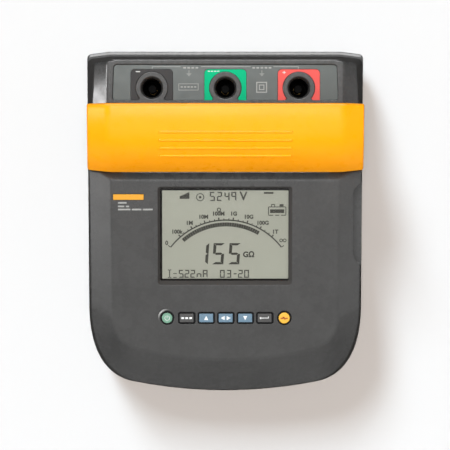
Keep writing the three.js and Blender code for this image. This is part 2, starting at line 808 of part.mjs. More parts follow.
function lcdFrame() {
  const { half, y0, y1 } = GLASS;
  const outside = roundedRectangle(-half - 4, y0 - 4, half + 4, y1 + 3.4, 2);
  const inside = roundedRectangle(-half - 0.4, y0 - 0.4, half + 0.4, y1 + 0.4, 0.5);
  return cut(prism(outside, -11.6, -5.8, undefined, 2), prism(inside, -13, -4, undefined, 2));
}

// ---- Inside ----

// Metal strap over the battery, with a foot at each end.
function batteryStrap() {
  const { half, z1 } = BATTERY;
  const foot = STRAP_BOSS_Z + 0.1;
  const outside = half + 2.5;
  const top = z1 + 2;
  const shape = new THREE.Shape();
  shape.moveTo(-82, foot);
  shape.lineTo(-outside + 1.5, foot);
  shape.lineTo(-outside + 1.5, top - 1.5);
  shape.lineTo(outside - 1.5, top - 1.5);
  shape.lineTo(outside - 1.5, foot);
  shape.lineTo(82, foot);
  shape.lineTo(82, foot + 1.5);
  shape.lineTo(outside, foot + 1.5);
  shape.lineTo(outside, top);
  shape.lineTo(-outside, top);
  shape.lineTo(-outside, foot + 1.5);
  shape.lineTo(-82, foot + 1.5);
  let strap = prism(shape, 73, 91, ALONG_Y);
  for (const [x, y] of STRAP_BOSSES) strap = cut(strap, cylinder(2.2, 10, 30, x, y, 12));
  return strap;
}

// Pan-head screw driven downwards.
function downScrew(x, y, headTop, length, radius) {
  const flip = new THREE.Matrix4().makeRotationX(Math.PI).setPosition(x, y, headTop);
  const geometry = geometryOf(screw(0, 0, 0, length, radius)).applyMatrix4(flip);
  return solidOf(geometry);
}

function mainBoard() {
  let board = box(-94, -42, MAIN_BOARD_Z, 94, 90, MAIN_BOARD_Z + 1.6);
  for (const [x, y] of BOARD_POSTS) board = cut(board, cylinder(1.6, 20, 40, x, y, 10));
  return board;
}

// Two-pin charging inlet, facing +X.
function chargeInlet() {
  const y = INLET_Y;
  const z = INLET_Z;
  const nose = roundedRectangle(y - 10.6, z - 6.1, y + 10.6, z + 6.1, 3.8);
  const flange = roundedRectangle(y - 14, z - 9, y + 14, z + 9, 2);
  const well = join(
    prism(circle(y - 3.6, z, 4.2), 96, 110, ALONG_X, 8),
    prism(circle(y + 3.6, z, 4.2), 96, 110, ALONG_X, 8),
  );
  const body = join(prism(nose, 90, POCKET_X - 0.4, ALONG_X), prism(flange, 101, 103.9, ALONG_X, 2));
  return cut(body, well);
}

// One pin of the charging inlet, with a square tail behind the body.
function inletPin(offset) {
  const pin = new THREE.CylinderGeometry(1.2, 1.2, 9, 12);
  pin.rotateZ(-Math.PI / 2);
  pin.translate(100.8, INLET_Y + offset, INLET_Z);
  return solidOf(pin);
}

// ---- Assembly ----

const root = new THREE.Group();
const panel = new THREE.Group();
panel.position.set(0, PANEL_TOP_Y, FRONT_Z);
panel.rotation.x = PANEL_TILT;
root.add(panel);

function add(name, solid, material, parent = root) {
  const mesh = new THREE.Mesh(geometryOf(solid), material);
  mesh.name = name;
  parent.add(mesh);
}

add("rear_case", rearCase(), materials.caseGrey);
add("front_case", frontCase(), materials.caseGrey);
add("case_seal", caseSeal(), materials.rubber);
add("handle_shell", handleShell(), materials.handleYellow);
add("handle_liner", handleLiner(), materials.caseGrey);
HANDLE_SCREWS.forEach(([x, y], i) => {
  add(`handle_screw_${i + 1}`, screw(x, y, 84.3, 15.5, SCREW_RADIUS), materials.steel);
});
CASE_SCREWS.forEach(([x, y], i) => {
  add(`case_screw_${i + 1}`, screw(x, y, SCREW_HEAD_Z, SCREW_LENGTH, SCREW_RADIUS), materials.steel);
});
FEET.forEach(([x, y], i) => {
  const profile = [[0, 0], [8, 0], [9, 1], [9, 5.2], [0, 5.2]];
  add(`foot_${i + 1}`, turned(profile, x, y, 20), materials.rubber);
});

add("terminal_panel", terminalPanel(), materials.panelGrey);
const labelMaterials = [materials.black, materials.green, materials.red];
SOCKETS.forEach((side, i) => {
  add(`terminal_label_${side}`, terminalLabel(i), labelMaterials[i]);
  add(`socket_shroud_${side}`, socketShroud(socketX(i)), materials.black);
  add(`socket_contact_${side}`, socketContact(socketX(i)), materials.brass);
  add(`high_voltage_lead_${side}`, highVoltageLead(socketX(i), -40 + 12 * (i - 1)), labelMaterials[i]);
});

KEYS.forEach((key, i) => add(key.name, keySolid(key, i), key.material, panel));
add("keypad_mat", keypadMat(), materials.silicone, panel);
const BOARD_TOP = -WALL - 2.2 - KEY_TRAVEL_ROOM - 2;
const keypadBoard = box(-64, KEY_ROW_Y - 11, BOARD_TOP - 1.6, 64, KEY_ROW_Y + 11, BOARD_TOP);
add("keypad_board", keypadBoard, materials.board, panel);
add("charge_indicator", crescent(-0.1, -WALL, 0.35), materials.white, panel);
const badgeShape = roundedRectangle(BADGE.x0 + 0.2, BADGE.y0 + 0.2, BADGE.x1 - 0.2, BADGE.y1 - 0.2, 0.5);
add("name_plate", prism(badgeShape, -BADGE.depth + 0.3, 0.2, undefined, 2), materials.handleYellow, panel);
const windowShape = roundedRectangle(-57.5, -90.3, 57.5, -4.6, 2);
add("display_window", prism(windowShape, -WALL - 2.2, -WALL - 0.4, undefined, 2), materials.clear, panel);
const { half, y0, y1 } = GLASS;
add("liquid_crystal_cell", box(-half, y0, -8.2, half, y1, -5.8), materials.liquidCrystal, panel);
add("display_frame", lcdFrame(), materials.black, panel);
add("backlight", box(-half, y0, -11.4, half, y1, -8.5), materials.white, panel);
add("display_board", box(-61, y0 - 5, -13.5, 61, y1 + 4, -11.9), materials.board, panel);

const { half: batteryHalf, y0: batteryY0, y1: batteryY1, z0: batteryZ0, z1: batteryZ1 } = BATTERY;
add("battery", box(-batteryHalf, batteryY0, batteryZ0, batteryHalf, batteryY1, batteryZ1), materials.black);
add("battery_strap", batteryStrap(), materials.steel);
STRAP_BOSSES.forEach(([x, y], i) => {
  add(`strap_screw_${i + 1}`, downScrew(x, y, STRAP_BOSS_Z + 3.9, 11.5, 1.6), materials.steel);
});
add("main_board", mainBoard(), materials.board);
const onBoard = MAIN_BOARD_Z + 1.8;
add("high_voltage_module", box(-80, 20, onBoard, -5, 84, 50), materials.black);
add("transformer", box(12, 32, onBoard, 60, 78, 62), materials.keyDark);
add("reservoir_capacitor", cylinder(11, onBoard, 66, 76, 55, 20), materials.black);
add("buzzer", cylinder(11, onBoard, 41, -70, -20, 20), materials.black);
add("charger_board", box(88, -32, 66, 89.6, 24, 104), materials.board);
add("charge_inlet", chargeInlet(), materials.black);
add("inlet_pin_1", inletPin(-3.6), materials.steel);
add("inlet_pin_2", inletPin(3.6), materials.steel);
const irShape = roundedRectangle(9.3, INLET_Z - 4.2, 20.7, INLET_Z + 4.2, 1.3);
add("infrared_window", prism(irShape, 103, POCKET_X - 0.6, ALONG_X, 2), materials.black);

export default root;
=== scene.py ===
"""Looks for the insulation resistance tester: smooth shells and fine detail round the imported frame."""
import json
import math

import bmesh
import bpy
import numpy as np
from mathutils import Matrix, Vector


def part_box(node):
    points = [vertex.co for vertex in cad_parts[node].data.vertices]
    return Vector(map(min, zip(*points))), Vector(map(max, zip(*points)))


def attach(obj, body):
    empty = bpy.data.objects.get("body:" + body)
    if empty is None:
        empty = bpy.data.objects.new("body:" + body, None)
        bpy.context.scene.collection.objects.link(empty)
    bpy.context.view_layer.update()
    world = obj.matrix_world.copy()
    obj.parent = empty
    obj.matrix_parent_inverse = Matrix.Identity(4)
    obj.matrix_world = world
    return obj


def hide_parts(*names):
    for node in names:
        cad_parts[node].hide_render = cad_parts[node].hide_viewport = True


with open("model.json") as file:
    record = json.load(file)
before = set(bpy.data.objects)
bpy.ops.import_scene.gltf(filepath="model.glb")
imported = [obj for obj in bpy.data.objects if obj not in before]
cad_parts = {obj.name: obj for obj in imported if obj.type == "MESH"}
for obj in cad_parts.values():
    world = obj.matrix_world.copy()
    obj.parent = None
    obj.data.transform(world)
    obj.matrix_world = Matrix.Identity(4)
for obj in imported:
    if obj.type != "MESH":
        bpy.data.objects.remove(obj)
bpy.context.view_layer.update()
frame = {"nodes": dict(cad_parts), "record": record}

# ---- Driving dimensions, in millimetres ----

MM = 0.001
WALL = 3.0
HALF_WIDTH = 121.0
HALF_LENGTH = 148.5
WIDEST_Z = 35.0
CREASE_X = 96.0  # where the flat front breaks into the side facets
FACET_X = 115.2  # outer edge of the side facets
PANEL_TOP_Y = 35.0
PANEL_TILT = math.radians(6)
SIDE_TAPER = 0.0085
COLLAR_RADIUS = 13.35
SOCKET_MOUTH = 9.85
SOCKET_THROAT = 8.0
KEY_MARGIN = 1.1
OPENING_SHIFT = (0.15, -0.12)  # how far the openings sit off the middle of their keys
VIEW = (-54.6, -85.5, 53.2, -7.6)  # display opening, in panel coordinates

KEYS = ("power_key", "function_key", "up_key", "left_right_key", "down_key", "enter_key", "test_key")
SIDES = ("negative", "guard", "positive")


def span(node):
    """Lowest and highest corner of a CAD node, in millimetres."""
    low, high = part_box(node)
    return np.array(low) / MM, np.array(high) / MM


def centre(node):
    low, high = span(node)
    return (low + high) / 2


REAR_LOW, REAR_HIGH = span("rear_case")
FRONT_LOW, FRONT_HIGH = span("front_case")
HANDLE_LOW, HANDLE_HIGH = span("handle_shell")
REAR_BASE_Z = REAR_LOW[2]
SPLIT_Z = REAR_HIGH[2]
FRONT_BASE_Z = FRONT_LOW[2]
FRONT_Z = FRONT_HIGH[2]
FLOOR_Z = HANDLE_LOW[2] - 0.3  # floor of the trough under the handle
CREST_Z = HANDLE_HIGH[2]
SOCKETS = [centre("socket_contact_" + side)[:2] for side in SIDES]
THROAT_Z = span("socket_shroud_guard")[1][2] + 0.7

# Panel coordinates: origin at the top edge of the display panel, z along its outward normal.
PANEL = Matrix.Translation((0, PANEL_TOP_Y, FRONT_Z)) @ Matrix.Rotation(PANEL_TILT, 4, "X")
# Local x, y, z lie along Y, Z and X.
ALONG_X = Matrix(((0, 0, 1, 0), (1, 0, 0, 0), (0, 1, 0, 0), (0, 0, 0, 1)))
# Local x, y, z lie along X, Z and -Y.
ALONG_Y = Matrix(((1, 0, 0, 0), (0, 0, -1, 0), (0, 1, 0, 0), (0, 0, 0, 1)))


def panel_point(node):
    """Centre of a CAD node in panel coordinates."""
    return np.array(PANEL.inverted() @ Vector(centre(node)))


KEY_POINTS = [(panel_point(name)[0] + 0.3, panel_point(name)[1]) for name in KEYS]

# ---- Mesh tools ----


def place(name, data):
    """A new object in the scene."""
    obj = bpy.data.objects.new(name, data)
    bpy.context.scene.collection.objects.link(obj)
    return obj


def place_shape(name, shape):
    """A new object that takes over an edited mesh."""
    mesh = bpy.data.meshes.new(name)
    shape.to_mesh(mesh)
    shape.free()
    return place(name, mesh)


def new_object(name, points, faces, matrix=None):
    """A closed mesh object from points in millimetres, its faces turned outwards."""
    mesh = bpy.data.meshes.new(name)
    rows = [Vector(p) for p in points]
    if matrix is not None:
        rows = [matrix @ p for p in rows]
    mesh.from_pydata([p * MM for p in rows], [], faces)
    tidy = bmesh.new()
    tidy.from_mesh(mesh)
    bmesh.ops.recalc_face_normals(tidy, faces=tidy.faces)
    tidy.to_mesh(mesh)
    tidy.free()
    return place(name, mesh)


def skin(name, rings, matrix=None, closed=False):
    """Quads between rings of equal count, with a cap at each end, or joined end to end."""
    count = len(rings[0])
    faces = []
    levels = len(rings)
    for level in range(levels if closed else levels - 1):
        low, high = level * count, ((level + 1) % levels) * count
        for i in range(count):
            j = (i + 1) % count
            faces.append((low + i, low + j, high + j, high + i))
    if not closed:
        faces.append(tuple(reversed(range(count))))
        faces.append(tuple(range((levels - 1) * count, levels * count)))
    return new_object(name, np.concatenate(rings), faces, matrix)


def round_points(angles):
    """Points of the unit circle at the given angles."""
    return np.column_stack((np.cos(angles), np.sin(angles)))


def flat_ring(flat, z):
    """A flat outline lifted to height z."""
    return np.column_stack((flat, np.full(len(flat), z)))


def plug(name, outline, levels, matrix=None):
    """A prism whose outline(grow) swells or shrinks from level to level, each (z, grow)."""
    return skin(name, [flat_ring(outline(grow), z) for z, grow in levels], matrix)


def lathe(name, profile, x, y, segments=64):
    """A body of revolution about the upright line through (x, y). Its profile, in (radius, z), closes on
    itself or ends on the axis."""
    on_axis = profile[0][0] == 0 and profile[-1][0] == 0
    circle = round_points(np.linspace(0, 2 * math.pi, segments, endpoint=False))
    rings = [flat_ring((x, y) + r * circle, z) for r, z in (profile[1:-1] if on_axis else profile)]
    return skin(name, rings, closed=not on_axis)


def replace_mesh(obj):
    """Bakes an object's modifiers into its mesh."""
    graph = bpy.context.evaluated_depsgraph_get()
    baked = bpy.data.meshes.new_from_object(obj.evaluated_get(graph))
    obj.modifiers.clear()
    obj.data = baked


def combine(target, tool, operation):
    modifier = target.modifiers.new("combine", "BOOLEAN")
    modifier.solver = "MANIFOLD"
    modifier.operation = operation
    modifier.object = tool
    bpy.context.view_layer.update()
    replace_mesh(target)
    bpy.data.objects.remove(tool)
    return target


def cut(target, *tools):
    for tool in tools:
        combine(target, tool, "DIFFERENCE")
    return target


def join(target, *tools):
    for tool in tools:
        combine(target, tool, "UNION")
    return target


def keep_common(target, tool):
    return combine(target, tool, "INTERSECT")


def merge(name, objects):
    """One object holding the separate solids of several."""
    gathered = bmesh.new()
    for obj in objects:
        gathered.from_mesh(obj.data)
        bpy.data.objects.remove(obj)
    return place_shape(name, gathered)


SHARP = math.radians(34)  # edges that bend more than this stay sharp


def shade(obj):
    """Smooth shading that breaks at sharp edges."""
    mesh = obj.data
    tidy = bmesh.new()
    tidy.from_mesh(mesh)
    bmesh.ops.remove_doubles(tidy, verts=tidy.verts, dist=1e-7)
    bmesh.ops.dissolve_degenerate(tidy, dist=1e-7, edges=tidy.edges)
    for face in tidy.faces:
        face.smooth = True
    for edge in tidy.edges:
        edge.smooth = len(edge.link_faces) == 2 and edge.calc_face_angle(0) < SHARP
    tidy.to_mesh(mesh)
    tidy.free()
    normals = obj.modifiers.new("normals", "WEIGHTED_NORMAL")
    normals.keep_sharp = True
    normals.weight = 50


# ---- Outlines ----


def curve(points, steps):
    """Bezier curve through two, three or four control points, without its last point."""
    t = np.linspace(0, 1, steps, endpoint=False)[:, None]
    p = [np.array(q, float) for q in points]
    if len(p) == 2:
        return (1 - t) * p[0] + t * p[1]
    if len(p) == 3:
        return (1 - t) ** 2 * p[0] + 2 * t * (1 - t) * p[1] + t**2 * p[2]
    return (1 - t) ** 3 * p[0] + 3 * t * (1 - t) ** 2 * p[1] + 3 * t**2 * (1 - t) * p[2] + t**3 * p[3]


def chain(*stretches):
    """Curves end to end, each given as (control points, steps)."""
    return np.concatenate([curve(points, steps) for points, steps in stretches])


def side_ring(x, section):
    """A section in (y, z) placed at x."""
    return np.column_stack((np.full(len(section), x), section))


def quarter(radius, start=0.0, steps=5):
    """Rise and sideways reach along a quarter circle that starts upright."""
    turn = np.linspace(start, math.pi / 2, steps)
    return list(zip(radius * np.sin(turn), radius * (1 - np.cos(turn))))


def both_sides(right):
    """A whole outline from its right half, which starts and ends on the middle line."""
    return np.concatenate((right, right[-2:0:-1] * (-1, 1)))


def tapered(flat, z):
    """A plan outline narrowed towards the key end. z is a height or a function of x and y."""
    height = z(*flat.T) if callable(z) else z
    return np.column_stack((flat[:, 0] * taper(flat[:, 1]), flat[:, 1], np.full(len(flat), height)))


def corner_turn(run, drop, radius):
    """From a sharp corner to the end of its rounding, along a chamfer that runs in and up."""
    return np.array((-run, drop)) * radius / math.hypot(run, drop)


def rectangle(x0, y0, x1, y1, radius, steps=6):
    """Rounded rectangle as a function of how far it grows."""

    def outline(grow=0.0):
        r = max(radius + grow, 0.05)
        corners = (
            (x1 + grow - r, y0 - grow + r),
            (x1 + grow - r, y1 + grow - r),
            (x0 - grow + r, y1 + grow - r),
            (x0 - grow + r, y0 - grow + r),
        )
        rows = []
        for turn, (x, y) in enumerate(corners):
            rows.append((x, y) + r * round_points((turn - 1 + np.linspace(0, 1, steps + 1)) * math.pi / 2))
        return np.concatenate(rows)

    return outline


def disc(x, y, radius, segments=64):
    circle = round_points(np.linspace(0, 2 * math.pi, segments, endpoint=False))
    return lambda grow=0.0: (x, y) + (radius + grow) * circle


def taper(y):
    return 1 - SIDE_TAPER * (HALF_LENGTH - y) / HALF_WIDTH


def front_height(y):
    return FRONT_Z - (PANEL_TOP_Y - y) * math.tan(PANEL_TILT)


def case_ring(half, top, bottom, z, corner=(38.5, 73.5), bow=420.0, shoulder=(19.5, 2.5, 4.0)):
    """One ring round the case. The key end is a shallow arc between large corners, and the far end has a
    chamfer (run, drop) with a rounded start. z is a height or a function of x and y."""
    reach_x, reach_y = corner
    arc_end = half - reach_x
    x = np.linspace(0, arc_end, 16, endpoint=False)
    arc = np.column_stack((x, bottom + x**2 / (2 * bow)))
    start = np.array((arc_end, bottom + arc_end**2 / (2 * bow)))
    side = np.array((half, bottom + reach_y))
    leaving = (arc_end + 0.62 * reach_x, start[1] + 0.62 * reach_x * arc_end / bow)
    arriving = (half, side[1] - 0.61 * (side[1] - start[1]))
    bend = curve((start, leaving, arriving, side), 40)
    run, drop, radius = shoulder
    tip = np.array((half, top - drop))
    before, after = tip - (0, radius), tip + corner_turn(run, drop, radius)
    far = chain(((side, before), 28), ((before, tip, after), 8), ((after, (half - run, top)), 8),
                (((half - run, top), (0, top)), 12))
    return tapered(both_sides(np.concatenate((arc, bend, far, [(0, top)]))), z)


def setback_share(way, setback):
    """How much of each row's way a setback takes up, at most just under half."""
    return np.minimum(setback / np.maximum(np.linalg.norm(way, axis=1), 1e-6), 0.499)[:, None]


def rounded(rings, setbacks, steps=6):
    """Rounds the bend at each inner ring, starting a setback away from it on both sides."""
    result = [rings[0]]
    for before, here, after, setback in zip(rings, rings[1:], rings[2:], setbacks):
        to_before, to_after = before - here, after - here
        start, end = (here + way * setback_share(way, setback) for way in (to_before, to_after))
        for t in np.linspace(0, 1, steps + 1):
            result.append((1 - t) ** 2 * start + 2 * t * (1 - t) * here + t**2 * end)
    return result + [rings[-1]]


# ---- Rear case ----

CASE_SCREWS = [centre(f"case_screw_{i}")[:2] for i in range(1, 5)]
FEET = [centre(f"foot_{i}")[:2] for i in range(1, 5)]


def rear_rings(inset):
    rows = [
        (REAR_BASE_Z, 97, 120, -123),
        (REAR_BASE_Z, 111, 134, -137),
        (8, 116, 141, -143),
        (18, 119.7, 146.5, -147),
        (WIDEST_Z, HALF_WIDTH, HALF_LENGTH, -HALF_LENGTH),
        (SPLIT_Z - 2.2, 119.5, 146.7, -146.3),
        (SPLIT_Z, 119.3, 143.4, -145.9),
    ]
    return [(z, half - inset, top - inset, bottom + inset) for z, half, top, bottom in rows]


def rear_shell():
    outer = [case_ring(half, top, bottom, z) for z, half, top, bottom in rear_rings(0)]
    lip = 0.6
    share = lip / 2.2
    outer.insert(-1, outer[-1] * (1 - share) + outer[-2] * share)
    z, half, top, bottom = rear_rings(0)[-1]
    outer[-1] = case_ring(half - lip, top - lip, bottom + lip, z)
    shell = skin("rear_shell", rounded(outer, (2.5, 4, 5, 6, 0.7, 0.4)))
    hollow = [case_ring(half, top, bottom, z) for z, half, top, bottom in rear_rings(WALL)[1:]]
    hollow[0][:, 2] += WALL
    hollow[-1][:, 2] += 1
    cut(shell, skin("hollow", hollow))
    for x, y in CASE_SCREWS:
        join(shell, plug("post", disc(x, y, 6.5, 40), ((5, 0), (SPLIT_Z, 0))))
    for x, y in CASE_SCREWS:
        levels = ((REAR_BASE_Z - 2, 1), (REAR_BASE_Z, 0.6), (REAR_BASE_Z + 0.6, 0), (15, 0))
        cut(shell, plug("counterbore", disc(x, y, 4.3, 40), levels))
        cut(shell, plug("hole", disc(x, y, 2.4, 24), ((10, 0), (70, 0))))
    for x, y in FEET:
        levels = ((REAR_BASE_Z - 2, 0.6), (REAR_BASE_Z, 0.4), (REAR_BASE_Z + 0.4, 0), (5.5, 0))
        cut(shell, plug("recess", disc(x, y, 9.3, 48), levels))
    return shell


# ---- Front case ----


def facet_drop(y):
    """How far the outer edge of the facets lies under the front plane."""
    t = np.clip((-y - 68) / (132 - 68), 0, 1)
    return 8 + 16 * t * t * (3 - 2 * t)


FRONT_HALF = 119.2  # half width of the front case where it meets the seal
FRONT_LOW_Y, FRONT_HIGH_Y = -145.8, 142.4
LOWER_TOP = 95.0  # far end of the display block, inside the socket block
LOWER_DROP = 38  # how far its far corners are cut back


def lip_ring(base, facet, lip):
    """A ring a lip's width up from the base on the way to the facets' edge."""
    up = facet - base
    return base + up / np.linalg.norm(up, axis=1)[:, None] * lip


def lower_rings(inset):
    top = LOWER_TOP - inset

    def facet_height(x, y):
        return front_height(y) - facet_drop(y) - 0.85 * inset

    def plane(x, y):
        return front_height(y) - inset

    def ring(half, bottom, z, run, **more):
        return case_ring(half, top, bottom, z, shoulder=(run, LOWER_DROP, 3), **more)

    base = ring(FRONT_HALF - inset, FRONT_LOW_Y + inset, FRONT_BASE_Z - (1 if inset else 0), 0.6)
    facet = ring(FACET_X - 0.85 * inset, -144.4 + inset, facet_height, 5.2)
    crease = ring(CREASE_X - 0.3 * inset, -116.7 + 0.5 * inset, plane, 5.2, corner=(22, 36.5), bow=302)
    return base, facet, crease, plane


def lower_block():
    base, facet, crease, plane = lower_rings(0)
    lip = 0.8
    start = case_ring(FRONT_HALF - lip, LOWER_TOP - 0.4, FRONT_LOW_Y + lip, FRONT_BASE_Z,
                      shoulder=(0.6, LOWER_DROP, 3))
    flat = case_ring(CREASE_X - 13, LOWER_TOP - 2, -104, plane, corner=(20, 34), bow=290,
                     shoulder=(5.2, LOWER_DROP, 3))
    rings = [start, lip_ring(base, facet, lip), facet, crease, flat]
    return skin("front_shell", rounded(rings, (lip, 1.3, 2)))


TOP_BLOCK_START = 84.0
TOP_CREASE_X = 98.8


def top_ring(half, top, z, run, drop, radius, inset=0.0, spread=0.0):
    """One ring round the socket block. spread widens it towards the trough."""
    half, top = half - inset, top - inset
    bottom = TOP_BLOCK_START + inset
    tip = np.array((half, top - drop))
    before, after = tip - (0, radius), tip + corner_turn(run, drop, radius)
    near = ((0, bottom), (half + spread, bottom))
    right = chain((near, 10), ((near[1], before), 14), ((before, tip, after), 16),
                  ((after, (half - run, top)), 8), (((half - run, top), (0, top)), 12))
    return tapered(both_sides(np.concatenate((right, [(0, top)]))), z)


def facet_edge_height(x, y):
    """Outer edge of the socket block: a low chamfer along the far side, and facets that fall away
    towards the far corners."""
    share = np.clip((np.abs(x) - 94) / 15, 0, 1)
    return FRONT_Z - 1 - share * (7 + 4 * np.clip((y - 102) / 33, 0, 1) ** 2)


def top_block():
    lip = 0.8
    base = top_ring(119, FRONT_HIGH_Y, FRONT_BASE_Z, 19.5, 2.5, 4)
    facet = top_ring(110.4, 135.4, facet_edge_height, 16, 2, 4, spread=2.8)
    crease = top_ring(TOP_CREASE_X, 134.2, FRONT_Z, 8, 0.6, 3)
    flat = top_ring(TOP_CREASE_X - 6, 128, FRONT_Z, 6, 0.6, 3)
    start = top_ring(119 - lip, FRONT_HIGH_Y - lip, FRONT_BASE_Z, 19.5, 2.5, 4)
    rings = [start, lip_ring(base, facet, lip), facet, crease, flat]
    return skin("top_block", rounded(rings, (lip, 1.3, 1.6)))


def facet_profile(crease, outer, drop):
    """Distance under the front against distance from the middle, with rounded bends."""
    corners = ((0, 0), (crease, 0), (outer, drop), (outer + 4, 30))
    rows = np.concatenate(rounded([np.array([corner], float) for corner in corners], (2, 1.3), 10))
    return lambda x: np.interp(x, rows[:, 0], rows[:, 1])


def display_slope():
    """Section of the trough's slope on the display side, in (y, z), falling to the floor."""
    lip = (41.3, FRONT_Z - 3.2)
    knee, end = (44, FRONT_Z - 22), (52, FLOOR_Z)
    slope = chain((((PANEL_TOP_Y, FRONT_Z), lip), 12),
                  ((lip, (43.2, FRONT_Z - 4.2), (43.6, FRONT_Z - 12), knee), 14),
                  ((knee, (45.5, FLOOR_Z), end), 16))
    return np.concatenate((slope, [end]))


def socket_wall():
    """Section of the trough's wall on the socket side, in (y, z), falling to the floor."""
    knee, end = (92.5, FLOOR_Z + 5), (86, FLOOR_Z)
    wall = chain((((98, FRONT_Z), knee), 24), ((knee, (91, FLOOR_Z), end), 12))
    return np.concatenate((wall, [end]))


def trimmed(section, surface, away, setback):
    """A section cut off where it meets a surface, with the edge there rounded. away points along the
    surface, out of the trough."""
    above = section[:, 1] > surface(section[:, 0]) + 1e-9
    first = int(np.argmin(above)) if above.any() else 0
    corner = section[first]
    if first:
        last = section[first - 1]
        gap_last = last[1] - surface(last[0])
        gap_here = corner[1] - surface(corner[0])
        corner = last + (corner - last) * gap_last / (gap_last - gap_here)
    path = np.concatenate(([corner], section[first + (0 if first else 1):]))
    reach = np.concatenate(([0], np.cumsum(np.linalg.norm(np.diff(path, axis=0), axis=1))))
    marks = np.linspace(setback, reach[-1], 30)
    rest = np.column_stack([np.interp(marks, reach, path[:, k]) for k in (0, 1)])
    outside = corner + np.array(away) * setback
    edge = curve((outside, corner, rest[0]), 8)
    return np.concatenate(([outside + (0, 45)], edge, rest))


def trough_tool():
    """Everything above the trough's floor, from the display panel to the socket block."""
    lower_scale, top_scale = taper(38), taper(97)
    lower_drop = facet_profile(CREASE_X * lower_scale, FACET_X * lower_scale, 8)
    top_drop = facet_profile(TOP_CREASE_X * top_scale, 112.2 * top_scale, 8)
    stations = np.array((88, 91, 93, 94.5, 96, 98, 101, 105, 108, 110, 112, 114, 135))
    rings = []
    slope = np.array((-math.cos(PANEL_TILT), -math.sin(PANEL_TILT)))
    for x in np.concatenate((-stations[::-1], stations)):
        reach = min(abs(x), 113)
        low = lower_drop(reach)
        high = top_drop(min(reach, 110.5))
        near = trimmed(display_slope(), lambda y: front_height(y) - low, slope, 1.8)
        far = trimmed(socket_wall(), lambda y: FRONT_Z - high + 0 * y, (1, 0), 1.2)
        rings.append(side_ring(x, np.concatenate((near, far[::-1]))))
    return skin("trough", rings)


POCKET_X = span("charge_inlet")[1][0] + 0.4
INLET = centre("charge_inlet")
POCKET_FLOOR_Z = 72.0


def pocket_outline(grow=0.0):
    """Plan of the pocket for the charging inlet in the right side."""
    x = POCKET_X - grow
    near, near_bend, outer_near = (x, -24 - grow), (x + 4, -34.5 - grow), (135, -48 - grow)
    far, far_bend, outer_far = (x, 23 + grow), (x + 2, 28 + grow), (135, 53 + grow)
    return chain(((near, (x, -31 - grow), near_bend), 10), ((near_bend, outer_near), 6),
                 ((outer_near, outer_far), 4), ((outer_far, far_bend), 6),
                 ((far_bend, (x, 26 + grow), far), 8), ((far, near), 10))


LABEL_DEPTH = 2.4


def label_field(grow=0.0):
    """Plan of the recess for the labels, a little wider towards the handle."""
    flat = rectangle(-93.3, 101, 93.3, 131, 3, 8)(grow)
    flat[:, 0] *= 1 + 0.0004 * (131 - flat[:, 1])
    return flat


def collar_outline(x, y):
    """A ring that widens into a neck towards the border of the label field."""

    def outline(grow=0.0):
        radius = COLLAR_RADIUS + grow
        neck = 10.2 + grow
        turn = math.asin(neck / radius)
        angle = np.linspace(-math.pi / 2 + turn, 1.5 * math.pi - turn, 72)
        ring = (x, y) + radius * round_points(angle)
        foot = 100.2
        left = curve((ring[-1], (x - neck, 102.5), (x - neck - 1.8, foot)), 8)[1:]
        right = curve(((x + neck + 1.8, foot), (x + neck, 102.5), ring[0]), 8)
        return np.concatenate((ring, left, [(x - neck - 1.8, foot)], right))

    return outline


def crescent_outline(grow=0.0):
    """Crescent beside the power key, between two circles whose middles lie apart along a diagonal."""
    x, y = KEY_POINTS[0]
    outer, inner = 7.3 + grow, 6.7 - grow
    first, second = np.array((x - 0.55, y + 0.55)), np.array((x + 0.3, y - 0.3))
    apart = math.dist(first, second)
    # Angle, from the diagonal, at which the circles cross.
    half = math.acos(max(-0.99, min(0.99, (apart**2 + outer**2 - inner**2) / (2 * apart * outer))))
    away = 0.75 * math.pi
    outside = first + outer * round_points(np.linspace(away - half, away + half, 40))
    (x0, y0), (x1, y1) = outside[[0, -1]] - second
    turn = np.linspace(math.atan2(y1, x1) % (2 * math.pi), math.atan2(y0, x0), 40)[1:-1]
    return np.concatenate((outside, second + inner * round_points(turn)))


def key_outline(index, grow=0.0):
    x, y = KEY_POINTS[index]
    if KEYS[index] == "power_key":
        return disc(x, y, 4.7)(grow)
    if KEYS[index] == "test_key":
        return disc(x, y, 4.95)(grow)
    return rectangle(x - 6.15, y - 3.95, x + 6.15, y + 3.95, 0.9)(grow)


BADGE = rectangle(-94, -17.3, -68, -12.2, 0.6)


def bezel_tool():
    """Display opening: a sloping bezel with a rounded rim."""
    x0, y0, x1, y1 = VIEW

    def ring(z, share, extra=0.0):
        low, high = (x0 - 1.9 * share, y0 - 3.3 * share), (x1 + 2.7 * share, y1 + 1.3 * share)
        return flat_ring(rectangle(*low, *high, 1.2 + share)(extra), z)

    levels = [ring(-6, 0), ring(-WALL + 0.3, 0), ring(-WALL + 0.6, 0.06), ring(-0.45, 0.9)]
    levels += [ring(-0.15, 0.98, 0.15), ring(0, 1.0, 0.5), ring(4, 1.0, 0.5)]
    return skin("bezel", levels, PANEL)


def flared(name, outline, depth, flare, matrix=None, top=0.0):
    """A cutter for a recess in a flat face at height top, with a rounded rim."""
    rim = [(top - flare + rise, reach) for rise, reach in quarter(flare)]
    return plug(name, outline, [(top - depth, 0), *rim, (top + 5, flare)], matrix)


